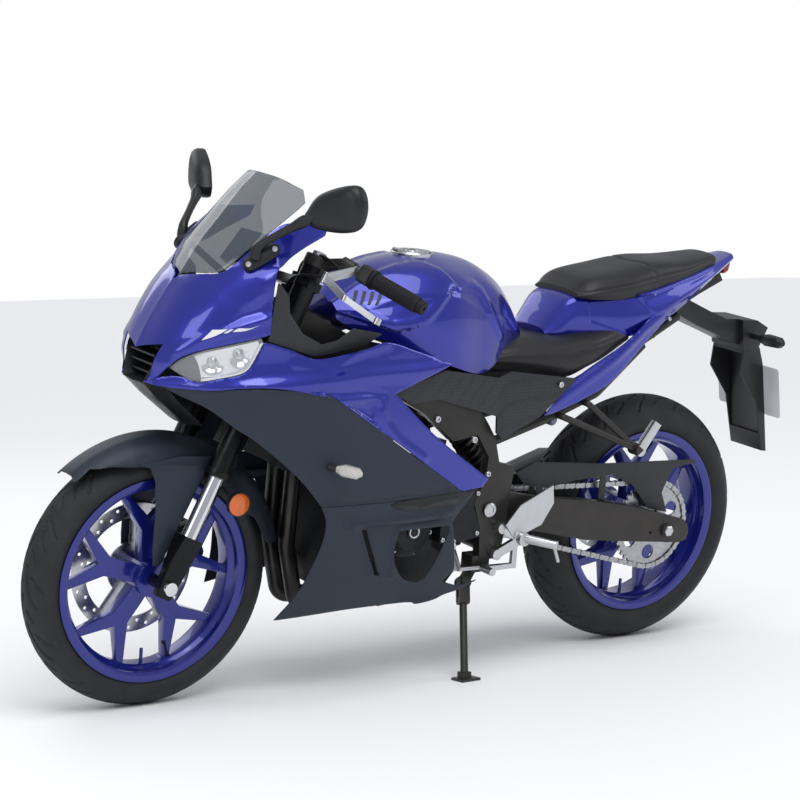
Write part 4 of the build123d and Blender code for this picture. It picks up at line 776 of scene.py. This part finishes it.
def bolt(centre, axis, radius=6.0, height=3.5, socket=True):
    """A round bolt head with a hexagon socket, standing on its seat."""
    profile = [(-1.0, 0), (-1.0, radius * 0.92), (0, radius * 0.98), (height * 0.75, radius),
               (height, radius * 0.88)]
    hollow = [(height, radius * 0.5), (height * 0.35, radius * 0.48), (height * 0.3, 0)]
    return turned(profile + (hollow if socket else [(height, 0)]), centre, axis, 18)


front_z = 293.0 + 58.0 * (1 / cos(lean_angle) - 1)
rear_z = 314.0 + 76.0 * (1 / cos(lean_angle) - 1)
up = (0, 0, 1)
left = (0, 1, 0)

# Half sections of the tank, tail and cushions: x, then y,z from the top down
tank_rows = rows("""
    296 0,918 42,910 84,884 94,862 88,850
    225 0,960 62,944 120,896 136,862 130,834
    130 0,990 86,972 142,925 165,868 162,806
    20 0,1003 105,974 152,924 166,862 172,764
    -80 0,990 92,952 128,880 134,846 146,740
    -150 0,962 78,926 106,866 112,826 116,766
    -215 0,915 50,880 74,842 80,822 80,796
    -250 0,836 40,830 54,818 58,810 58,800""")
tail_rows = rows("""
    -318 0,822 40,820 60,815 66,808 60,800
    -350 0,866 52,862 72,850 82,822 80,802
    -384 0,898 60,894 80,884 92,848 88,806
    -430 0,901 70,899 92,887 104,850 100,806
    -530 0,905 85,903 109,895 124,850 120,804
    -620 0,915 88,912 107,902 124,862 116,826
    -720 0,938 78,934 94,925 108,900 100,872
    -820 0,962 62,958 74,950 82,938 76,926
    -930 0,986 26,984 32,980 35,975 32,968""")
pillion_rows = rows("""
    -394 0,912 56,910 82,902 80,896
    -440 0,942 74,938 106,912 100,893
    -540 0,961 80,955 110,925 104,893
    -640 0,977 72,972 98,942 92,902
    -740 0,980 62,975 84,955 78,922
    -848 0,990 45,986 58,977 54,952""")
rider_rows = rows("""
    -120 0,780 76,784 108,772 114,756 100,743
    -190 0,800 80,798 124,780 130,754 108,735
    -256 0,808 85,806 130,781 136,748 110,728
    -340 0,806 95,806 141,780 145,740 120,712
    -430 0,820 98,818 140,794 142,758 116,742
    -534 0,838 92,834 116,812 118,796 95,788""")
tank_wing = path("""
    350,880 311,884 245,865 186,847 145,851 97,867 59,899 24,933 -4,937 30,979 54,990 116,1010
    197,1010 350,1000""")
tank_relief = [
    ("sink", tank_wing, 7.0, 6.0),
    ("ridge", path("-4,936 -30,943 -58,939 -82,924 -106,889 -127,848 -148,818"), 18.0, 5.0),
    ("sink", path("240,880 186,862 145,866 110,880 80,905 60,925 150,925 250,905"), 16.0, -4.0),
]
tail_relief = [
    ("sink", path("-640,902 -566,897 -609,857 -548,802 -420,840 -420,910"), 5.0, -3.5),
    ("ridge", path("-572,897 -680,925 -790,958 -900,982"), 14.0, 3.0),
]


def make_tank():
    cap_at, hinge = (40, 0, 1001), (83, 0, 1008)
    belly = [(420, 700), (420, 905), (300, 872), (205, 806), (60, 750), (-60, 700), (-60, 600)]
    shape = body_shape(tank_rows, (2,), 22, relief=tank_relief, side_y=55.0)
    piece("tank_shell", [shape], "blue_gloss", replaces=("fuel_tank",),
          cuts=(drum(-6, 40, 45, cap_at, up, 64), prism(belly, -154, 154)))
    parts = [drum(-13, 13, 1.6, hinge, left, 16), turned(
        [(-5.9, 47), (-5.9, 45.2), (0.5, 45.2), (2.2, 46.2), (2.2, 48.5), (0.2, 50.0), (-5.9, 50)],
        cap_at, up, 64)]
    for y in (10.5, -10.5):
        parts.append(drum(-2.5, 2.5, 3.6, (83, y, 1008), left))
        parts.append(prism([(79.5, 990), (79.5, 1008), (86.5, 1008), (86.5, 990)], y - 2.4, y + 2.4))
    piece("filler_ring", parts, "silver_cast")
    side = Draped(shape)
    for number in range(4):
        x = 262 - 15 * number
        panel("tank_slash_%d" % number, side, [(x, 903), (x - 6, 903), (x - 25, 930), (x - 18, 930)],
              "black_plastic", angle=32.0, lift=0.7, thickness=1.0, step=5.0, lip=0.0)


def make_cap():
    """The lid's lock cover and its ring of screws, on the hinged cap."""
    dress("fuel_cap", "fuel_cap", 0.7)
    parts = [turned([(0, 0), (0, 17), (2.2, 16), (2.6, 14.5), (2.6, 0)], (40, 0, 1004.2), up, 40)]
    for k in range(6):
        a = radians(60 * k + 30)
        parts.append(bolt((40 + 30 * cos(a), 30 * sin(a), 1004.3), up, 3.4, 1.6))
    piece("cap_lock", parts, "silver_cast", "fuel_cap")
    # A black bar standing on the lock cover where the keyhole opens: painted shade for the hole.
    keyhole_painted_shade = prism([(34, 1006.7), (46, 1006.7), (46, 1007.5), (34, 1007.5)], -3, 3)
    piece("cap_keyhole_painted_shade", [keyhole_painted_shade], "black_plastic", "fuel_cap")


def make_seats():
    """Both cushions as crowned forms with a sewn edge, and the tail they sit on."""
    relief = [("ridge", [(-118, 774), (-190, 782), (-256, 784), (-340, 783), (-430, 797), (-534, 818)], 5.0, -2.2)]
    shape = body_shape(rider_rows, relief=relief, side_y=80.0)
    seat = piece("rider_cushion", [shape], "seat_vinyl", replaces=("rider_seat",), angle=50)
    relief = [("ridge", [(-392, 905), (-440, 915), (-540, 928), (-640, 944), (-740, 956), (-850, 978)], 5.0, -2.0)]
    verts, faces = body_shape(pillion_rows, relief=relief, side_y=50.0)
    points = []
    for x, y, z in verts:
        seam = 3.5 * ease(1 - abs(x + 598 + 0.25 * abs(y)) / 7)
        points.append((x, y, z - seam if z > 900 + 0.06 * (-x - 400) else z))
    seat = piece("pillion_cushion", [(points, faces)], "seat_vinyl", replaces=("pillion_seat",), angle=50)

    shape = body_shape(tail_rows, (2,), 22, relief=tail_relief, side_y=60.0)
    piece("tail_shell", [shape], "blue_gloss", replaces=("tail_cowl",), angle=30)
    spear = Surface([
        (640, [(-250, 152), (-370, 154), (-480, 150), (-570, 136), (-670, 116), (-780, 90)]),
        (720, [(-250, 151), (-370, 153), (-480, 150), (-570, 136), (-670, 116), (-780, 90)]),
        (800, [(-250, 150), (-370, 152), (-480, 148), (-570, 134), (-670, 114), (-780, 88)]),
        (900, [(-250, 146), (-370, 148), (-480, 143), (-570, 129), (-670, 109), (-780, 83)]),
    ])
    outline = [(-262, 629), (-300, 636), (-393, 668), (-468, 703), (-570, 782), (-667, 848), (-740, 884),
               (-700, 900), (-605, 856), (-515, 800), (-360, 719)]
    panel("tail_blades", spear, outline, "blue_gloss", relief=[
        ("ridge", [(-262, 634), (-360, 690), (-470, 752), (-570, 818), (-660, 866), (-735, 890)], 15.0, 4.0)])
    tray = [(-70, [(0, 786), (60, 784), (92, 770), (96, 735), (80, 705)]),
            (-200, [(0, 782), (60, 780), (92, 768), (98, 735), (84, 705)]),
            (-330, [(0, 790), (60, 786), (92, 772), (96, 740), (84, 712)])]
    piece("seat_tray", [body_shape(tray, (2,), 4, 4)], "black_plastic")
    feet = [drum(9.5, 60, 8, (-640, side * 60, 798), up) for side in (1, -1)]
    feet += [bolt(at, (0, side, 0.2), 5.0, 2.5) for side in (1, -1)
             for at in ((-587, side * 117.5, 857), (-662, side * 117.0, 842))]
    piece("tail_fixings", feet, "silver_cast")


def tyre(radius, width, crown, rim_half, centre, groove, turns=840):
    """A tyre turned round the axle, its tread cut by slanted grooves."""
    shoulder, hub = 0.92 * width / 2, radius - crown
    reach = asin(shoulder / crown)
    steps, wall_steps = 44, 15
    bead, lip, bead_radius = rim_half - 0.4, 231.4, 217
    edge = hub + sqrt(crown ** 2 - shoulder ** 2)
    turn_of = [-reach + 2 * reach * i / steps for i in range(steps + 1)]
    profile = [(crown * sin(a), hub + crown * cos(a), True) for a in turn_of]
    wall = []
    for i in range(1, wall_steps):
        t = i / wall_steps
        bulge = 0.92 * (edge - lip) * t * (1 - t)
        rib = 0.7 * max(0, 1 - abs(t - 0.82) / 0.05) + 0.6 * max(0, 1 - abs(t - 0.12) / 0.05)
        wall.append((shoulder + (bead - shoulder) * t + bulge + rib, edge + (lip - edge) * t, False))
    wall += [(bead, lip, False), (bead, bead_radius, False), (bead - 10, bead_radius, False),
             (shoulder - 9, edge - 6, False)]
    loop = [(-y, r, f) for y, r, f in wall[::-1]] + profile + wall + [(0, radius - 10, False)]
    verts = []
    for i in range(turns):
        a = 2 * pi * i / turns
        for y, r, grooved in loop:
            r -= groove(a, y) if grooved else 0
            verts.append((centre[0] + r * sin(a), y, centre[2] + r * cos(a)))
    count, total = len(loop), len(verts)
    return verts, [tuple(v % total for v in face) for face in walls(turns + 1, count)]


def tread(radius, repeat, slashes, depth=4.5, wide=3.8):
    """The depth of the grooves at an angle and an offset, from slashes of (angle share, y, angle share, y)."""
    pitch = 2 * pi / repeat
    lines = [[((a + turn + (0 if side > 0 else 0.5)) * pitch * radius, side * y)
              for a, y in (slash[:2], slash[2:])]
             for slash in slashes for side in (1, -1) for turn in (-1, 0, 1)]
    store = {}

    def groove(a, y):
        key = (round((a % pitch) / pitch * 4000), round(y * 8))
        if key not in store:
            best = min(to_line((a % pitch) * radius, y, line) for line in lines)
            store[key] = depth * ease((wide - best) / 1.6)
        return store[key]

    return groove


def make_wheels():
    slashes = [[(0.10, 3, 0.62, 20), (0.62, 20, 0.80, 34), (0.30, 24, 0.52, 44), (0.86, 10, 1.05, 24)],
               [(0.12, 5, 0.50, 24), (0.60, 26, 0.92, 44), (0.18, 34, 0.40, 56), (0.95, 14, 1.08, 30)]]
    wheels = [("front", 293, 112, 58, 43, (690, 0, front_z), 14, 198),
              ("rear", 314, 142, 76, 57, (-690, 0, rear_z), 16, 162)]
    for (end, radius, width, crown, half, centre, repeat, _), lines in zip(wheels, slashes):
        shape = tyre(radius, width, crown, half, centre, tread(radius, repeat, lines))
        piece(end + "_tyre_tread", [shape], "tyre_rubber", end + "_wheel", (end + "_tyre",), 38, weld=0)
    for wheel in wheels:
        dress(wheel[0] + "_rim", wheel[0] + "_wheel", 1.6)
    for end, _, _, _, _, (x, _, z), _, turn in wheels:
        out = Vector((sin(radians(turn)), 0, cos(radians(turn))))
        stem = turned([(-8, 0), (-8, 5), (4, 5), (6, 3.6), (26, 3.6), (26, 4.6), (36, 4.6), (37.5, 3.4),
                       (37.5, 0)], Vector((x, 8, z)) + out * 198, -out, 18)
        piece(end + "_valve", [stem], "rubber_black", end + "_wheel")


def make_drive():
    dress("front_disc", "front_wheel", 0.5)
    dress("rear_disc", "rear_wheel", 0.5)
    dress("rear_sprocket", "rear_wheel", 0.5)
    turns = [radians(72 * k + 36) for k in range(5)]
    piece("front_disc_bolts", [bolt((690 + 48 * sin(a), -66.5, front_z + 48 * cos(a)), (0, -1, 0), 6.5, 4)
                               for a in turns], "silver_cast", "front_wheel")
    turns = [radians(60 * k + 30) for k in range(6)]
    piece("sprocket_nuts", [bolt((-690 + 40 * sin(a), 91.0, rear_z + 40 * cos(a)), left, 6.5, 5, False)
                            for a in turns], "silver_cast", "rear_wheel")

    pitch, link_end, waist = 15.875, 6.6, 5.0
    r_rear, r_front = pitch / 2 / sin(pi / 43), pitch / 2 / sin(pi / 14)
    front, rear = (-52.0, 412.0), (-690.0, rear_z)
    dx, dz = front[0] - rear[0], front[1] - rear[1]
    along, gap = atan2(dz, dx), hypot(dx, dz)
    tilt = asin((r_rear - r_front) / gap)
    upper, lower = along + pi / 2 - tilt, along - pi / 2 + tilt
    run = gap * cos(tilt)
    wrap_front, wrap_rear = (pi - 2 * tilt) * r_front, (pi + 2 * tilt) * r_rear
    total = 2 * run + wrap_rear + wrap_front
    count = int(total / pitch / 2 + 0.5) * 2

    def on(centre, radius, a):
        return centre[0] + radius * cos(a), centre[1] + radius * sin(a)

    def between(start, end, t):
        return [p + (q - p) * t for p, q in zip(start, end)]

    def at(s):
        """The chain's line at a length along it, and whether it lies on a sprocket there."""
        s %= total
        if s < run:
            return *between(on(rear, r_rear, upper), on(front, r_front, upper), s / run), False
        s -= run
        if s < wrap_front:
            return *on(front, r_front, upper - s / r_front), True
        s -= wrap_front
        if s < run:
            return *between(on(front, r_front, lower), on(rear, r_rear, lower), s / run), False
        return *on(rear, r_rear, lower - (s - run) / r_rear), True

    plates, rollers = [], []
    for i in range(count):
        x0, z0, wrapped = at(i * total / count)
        x1, z1, _ = at((i + 1) * total / count)
        ahead, length = atan2(z1 - z0, x1 - x0), hypot(x1 - x0, z1 - z0)
        outline = []
        for base, sign in ((0.0, -1), (length, 1)):
            turns = [pi * k / 8 - sign * pi / 2 for k in range(9)]
            outline += [(base + link_end * cos(a), link_end * sin(a)) for a in turns]
            outline.append((length / 2, sign * waist))
        spots = [(x0 + u * cos(ahead) - v * sin(ahead), z0 + u * sin(ahead) + v * cos(ahead)) for u, v in outline]
        for low, high in (((93.3, 94.9), (81.1, 82.7)) if i % 2 else ((91.7, 93.2), (82.8, 84.3))):
            plates.append(prism(spots, low, high))
        if wrapped:
            rollers.append(drum(93.0, 95.4, 2.4, (x0, 0, z0), left, 10))
        else:
            rollers.append(turned([(80.6, 0), (80.6, 2.4), (84.4, 2.4), (84.4, 4.6), (91.6, 4.6), (91.6, 2.4),
                                   (95.4, 2.4), (95.4, 0)], (x0, 0, z0), left, 14))
    piece("drive_chain", plates + rollers, "chain_steel", replaces=("chain",), weld=0)


bevels = {
    "frame": {"main_frame": 3.0, "subframe": 0, "swingarm": 4.0, "shock": 0, "rear_caliper": 4.0, "engine": 4.0,
              "engine_covers": 3.0, "radiator": 1.5, "exhaust_pipes": 0, "muffler": 4.0, "under_tail": 2.5,
              "rear_signals": 2.5, "front_signals": 2.5, "number_plate": 0.5, "inner_trims": 1.0,
              "side_covers": 1.8, "fairing_stay": 1.5, "rider_footrests": 1.6, "pedals": 1.5,
              "passenger_footrests": 1.5, "chain_guard": 0.9, "tail_lamp": 1.5},
    "steering": {"fork": 1.2, "fork_sliders": 1.2, "handlebars": 2.0, "switch_boxes": 1.0, "hand_levers": 2.0,
                 "front_fender": 1.2, "front_caliper": 5.0},
    "side_stand": {"side_stand": 1.6},
}
fork_x, fork_z = 655.53, 277.65
cos_rake, sin_rake = cos(radians(25)), sin(radians(25))


def steered(x, y, z):
    """A point of the steering frame on the upright bike."""
    return Vector((fork_x + x * cos_rake - z * sin_rake, y, fork_z + x * sin_rake + z * cos_rake))


def steered_way(x, y, z):
    return steered(x, y, z) - steered(0, 0, 0)


def on_fork_lug(p):
    """Whether a place on the sliders is bare dark metal, and not the axle's end."""
    height = (p.z - fork_z) * cos_rake - (p.x - fork_x) * sin_rake
    return height < 121 and (abs(p.y) < 107 or hypot(p.x - 690, p.z - front_z) > 16)


second_mats = {
    "fork_sliders": ("fork_dark", on_fork_lug),
    "front_signals": ("black_plastic", lambda p: abs(p.y) < 285),
    "rear_signals": ("black_plastic", lambda p: abs(p.y) < 99 or p.x > -1000),
    "passenger_footrests": ("frame_dark", lambda p: p.x > -545),
}
rail_bolts = [((-70, 150, 585), 8.0), ((40, 150, 640), 8.0), ((-118, 150, 500), 7.0)]


def make_metal():
    for body, widths in bevels.items():
        for node, width in widths.items():
            dress(node, body, width, other=second_mats.get(node))
    cover, cover_seat = Vector((111, 0, 391)), (111, 124, 391)
    parts = []
    for k in range(12):
        a = radians(30 * k + 9)
        along, across = Vector((sin(a), 0, cos(a))), Vector((cos(a), 0, -sin(a)))
        corners = [cover + along * u + across * v for u, v in ((21, -1.5), (45, -2.2), (45, 2.2), (21, 1.5))]
        parts.append(prism([(p.x, p.z) for p in corners], 186, 189.5))
    parts.append(turned([(60, 45), (60, 47.5), (66, 46.5), (66, 44)], cover_seat, left, 48))
    piece("generator_ribs", parts, "cast_dark")
    parts = [turned([(62, 0), (62, 14), (71, 14), (71, 11), (69.5, 10), (69.5, 0)], cover_seat, left, 32)]
    for k in range(6):
        a = radians(60 * k + 20)
        parts.append(bolt((111 + 58 * sin(a), 172, 391 + 58 * cos(a)), left, 5.0, 4.0))
    piece("generator_plug", parts, "silver_cast")
    # A black bar standing on the plug where its screwdriver slot lies: painted shade for the slot.
    piece("plug_slot_painted_shade", [prism([(103, 389), (119, 389), (119, 393), (103, 393)], 192.5, 194.6)], "black_plastic")
    bolts = [bolt((x, 152, z), left, 5.5, 4.0) for x, z in
             ((-4, 458), (-62, 466), (-92, 456), (-98, 360), (-32, 346), (0, 352))]
    bolts += [bolt((x, side * y, z), (0, side, 0), r, 4.5) for side in (1, -1) for (x, y, z), r in rail_bolts]
    bolts += [bolt((-298, side * 168.5, 707), (0, side, 0), 7.0, 3.0) for side in (1, -1)]
    piece("side_bolts", bolts, "silver_cast")
    caps = [turned([(0, 0), (0, 17), (4, 17), (6, 14), (6, 9), (4, 8), (4, 0)], (-128, side * 155.5, 414),
                   (0, side, 0), 32) for side in (1, -1)]
    caps += [turned([(0, 0), (0, 14), (5, 14), (7, 11), (7, 0)], (-690, side * 158.5, rear_z), (0, side, 0), 6)
             for side in (1, -1)]
    piece("pivot_caps", caps, "silver_cast")


def make_lamps():
    """The lamps' glass, shells, reflectors and bulbs, the stripes and the duct's mouth."""
    panel("lamp_glass", cowl, lamp_outline, "lamp_glass", ("headlamps",), thickness=2.4, lip=0.6)
    panel("lamp_shell", cowl, lamp_outline, "black_plastic", lift=-20.0, thickness=5.0)
    bowls = [(651, 797, 25), (598, 815, 24)]
    turns = [2 * pi * k / 20 for k in range(20)]
    panel("lamp_reflectors", cowl, [(682, 812), (667, 820), (615, 836), (562, 850), (558, 844), (576, 806),
                                    (596, 788), (637, 773), (671, 765), (676, 790)], "fork_chrome",
          lift=-5.0, thickness=2.0, step=4.0, lip=0.0,
          relief=[("sink", [(x + r * cos(a), z + r * sin(a)) for a in turns], r * 0.9, -12.0)
                  for x, z, r in bowls])
    panel("lamp_bezel", cowl, [(716, 781), (700, 802), (683, 814), (674, 792), (668, 763), (673, 759),
                               (693, 766)], "grey_plastic", lift=-3.6, thickness=6.0, lip=0.5)
    panel("lamp_rim", cowl, [(668, 757.5), (637, 767.5), (592, 782.5), (572, 803.5), (551, 845), (555, 849),
                             (577, 806), (596, 788), (638, 773), (668, 764)], "fork_chrome", lift=-3.0,
          thickness=3.0, step=6.0, lip=0.4)
    bulbs = []
    for x, z, _ in bowls:
        share = cowl.share(x, z)
        bulbs.append(turned([(-19, 0), (-19, 7), (-12, 7), (-9, 6), (-8, 4), (-8, 0)], cowl.point(share, z),
                            cowl.normal(share, z), 20))
    piece("lamp_bulbs", mirrored(*bulbs), "silver_cast")
    stripes = [[(666, 845), (647, 869), (622, 873), (638, 861), (653, 852)],
               [(631, 864), (617, 873), (611, 874), (624, 865)],
               [(614, 868), (602, 876), (580, 877), (558, 884), (588, 872)]]
    for number, outline in enumerate(stripes):
        panel("nose_stripe_%d" % number, cowl, outline, "plate_white", lift=0.7, thickness=1.2, lip=0.0,
              step=5.0, relief=cowl_relief)
    front = [(0, 811), (40, 817), (77, 825), (60, 778), (45, 738), (0, 738)]
    loop = front + [(-y, z) for y, z in front[-2:0:-1]]
    verts, count = [], len(loop)
    for depth, share in ((-2, 1.0), (-46, 0.8), (-50, 0.8), (-6, 1.04)):
        for y, z in loop:
            x = min(cowl.level(max(736.0, min(z, 860.0))), key=lambda p: abs(p[1] - abs(y)))[0]
            verts.append((x + depth, y * share, 775 + (z - 775) * share))
    faces = [tuple(v % len(verts) for v in face) for face in walls(5, count)]
    del faces[count:2 * count]
    faces += [tuple(range(count, 2 * count)), tuple(range(2 * count, 3 * count))[::-1]]
    slats = [prism([(700, z), (728, z - 3), (728, z + 1), (700, z + 4)], -half, half)
             for z, half in ((758, 44), (778, 50), (798, 54))]
    piece("duct_mouth", [(verts, faces), *slats], "black_plastic", replaces=("nose_duct",), angle=25)
    dress("chin", "frame", 0.6, "black_plastic")


def make_mirrors():
    """Each mirror's foot with its two screws, bent arm, rounded head and glass."""
    turn = radians(19.6)
    outline = smooth_line([(214, 1122), (230, 1097), (300, 1093), (350, 1106), (366, 1146), (356, 1186),
                           (326, 1196), (250, 1168)], 7.0, 70)
    mid_y, mid_z = [sum(values) / len(outline) for values in zip(*outline)]
    hinge_x, hinge_y = 478, 212

    def ring(depth, share):
        made = []
        for y, z in outline:
            across = mid_y + (y - mid_y) * share - hinge_y
            made.append((hinge_x + depth * cos(turn) - across * sin(turn),
                         hinge_y + depth * sin(turn) + across * cos(turn), mid_z + (z - mid_z) * share))
        return made

    head = ringed([ring(*at) for at in ((-20, 0.90), (-22, 0.93), (-21, 0.975), (-15, 1.0), (-6, 1.0), (2, 0.96),
                                        (9, 0.86), (13, 0.7), (15, 0.5), (15.8, 0.25))])
    radii = [13, 13, 12.5, 12, 11, 10.5, 10, 9.5, 9, 9, 8.5, 8.5, 8.5, 8.5, 9, 9, 9.5, 10, 11, 12, 12.5, 13,
             13, 13, 12, 11, 10, 9, 8, 7, 6]
    arm = tube([(556, 156, 1020), (552, 162, 1046), (526, 186, 1072), (496, 214, 1098), (482, 232, 1112),
                (470, 252, 1124)], radii, 18)
    along = (Vector((505, 163, 1044)) - Vector((577, 147, 1000))).normalized()
    out = Vector((0.42, 0.86, 0.3))
    out = (out - along * out.dot(along)).normalized()
    wide, centre = out.cross(along), Vector((541, 156, 1022))
    plate = [along * (sx * 28 + 16 * cos(a)) + wide * 16 * sin(a)
             for sx, low in ((1, -90), (-1, 90)) for a in [radians(low + 18 * k) for k in range(11)]]
    foot = ringed([[tuple(centre + p * grow + out * lift) for p in plate]
                   for lift, grow in ((-6, 1.0), (4, 1.0), (7, 0.95), (8, 0.85))])
    screws = [bolt(centre + along * reach + out * 7.5, out, 6.0, 3.0) for reach in (-33, 33)]
    piece("mirror_bodies", mirrored(head, arm, foot), "black_plastic", replaces=("mirrors",), angle=40)
    piece("mirror_glass", mirrored(ringed([ring(-19.0, 0.91), ring(-20.8, 0.905)])), "fork_chrome")
    piece("mirror_screws", mirrored(*screws), "silver_cast")


def make_controls():
    at = (538, 124, 473)
    reflector = turned([(0, 0), (0, 25), (3.5, 25), (5.0, 22), (5.5, 0)], at, left, 36)
    rim = turned([(-5, 0), (-5, 28), (3.8, 28), (3.8, 25), (-1, 25), (-1, 0)], at, left, 36)
    piece("fork_reflectors", mirrored(reflector), "amber_lens", "steering")
    piece("reflector_rims", mirrored(rim), "black_plastic", "steering")

    root, tip = Vector((10, 168, 796)), Vector((-90, 350, 770))
    along = (tip - root).normalized()
    sides = 26
    profile = [(0, 11.5), (0, 22), (3, 22.5), (6, 22), (6, 17.6)]
    for k in range(26):
        s = 9 + k * 4.3
        profile += [(s, 17.6), (s + 0.8, 18.4), (s + 2.4, 18.4), (s + 3.2, 17.6)]
    profile += [(124, 17.0), (124, 15.0), (126, 15.4), (138, 15.2), (140, 13), (140, 4.2), (136, 4.2), (136, 11.5)]
    verts, faces = turned(profile, steered(*(root + along * 72)), steered_way(*along), sides)
    far = len(verts) - sides
    bore = [(i, (i + 1) % sides, far + (i + 1) % sides, far + i) for i in range(sides)]
    piece("grip_rubbers", mirrored((verts, faces[:-2] + bore)), "rubber_black", "steering", ("grips",), 40)
    box, buttons = root + along * 55, []
    for dx, r in ((-14, 5), (0, 4), (10, 5)):
        buttons.append(turned([(-3, 0), (-3, r), (3, r), (4.2, r * 0.7), (4.2, 0)],
                              steered(box.x + dx, box.y + dx * 0.2, box.z + 18), steered_way(0, 0, 1), 16))
    piece("switch_buttons", mirrored(*buttons), "grey_plastic", "steering")
    runs = [([(42, 160, 752), (60, 130, 742), (64, 100, 735), (62, 64, 712), (58, 52, 640), (58, 60, 560)], 3.6),
            ([(24, 176, 778), (40, 140, 790), (44, 90, 792), (40, 50, 770), (34, 40, 742)], 3.0)]
    cables = [tube([steered(*p) for p in points], radius) for points, radius in runs]
    piece("control_cables", mirrored(*cables), "rubber_black", "steering")
    nut = turned([(-1, 0), (-1, 16), (9, 16), (11, 13), (11, 6), (8, 6), (8, 0)],
                 steered(38.03, 95, 790), steered_way(0, 0, 1), 6)
    piece("fork_caps", mirrored(nut), "silver_cast", "steering")


make_camera()
make_fairing()
make_tank()
make_cap()
make_seats()
make_wheels()
make_drive()
make_metal()
make_lamps()
make_mirrors()
make_controls()
make_stage()
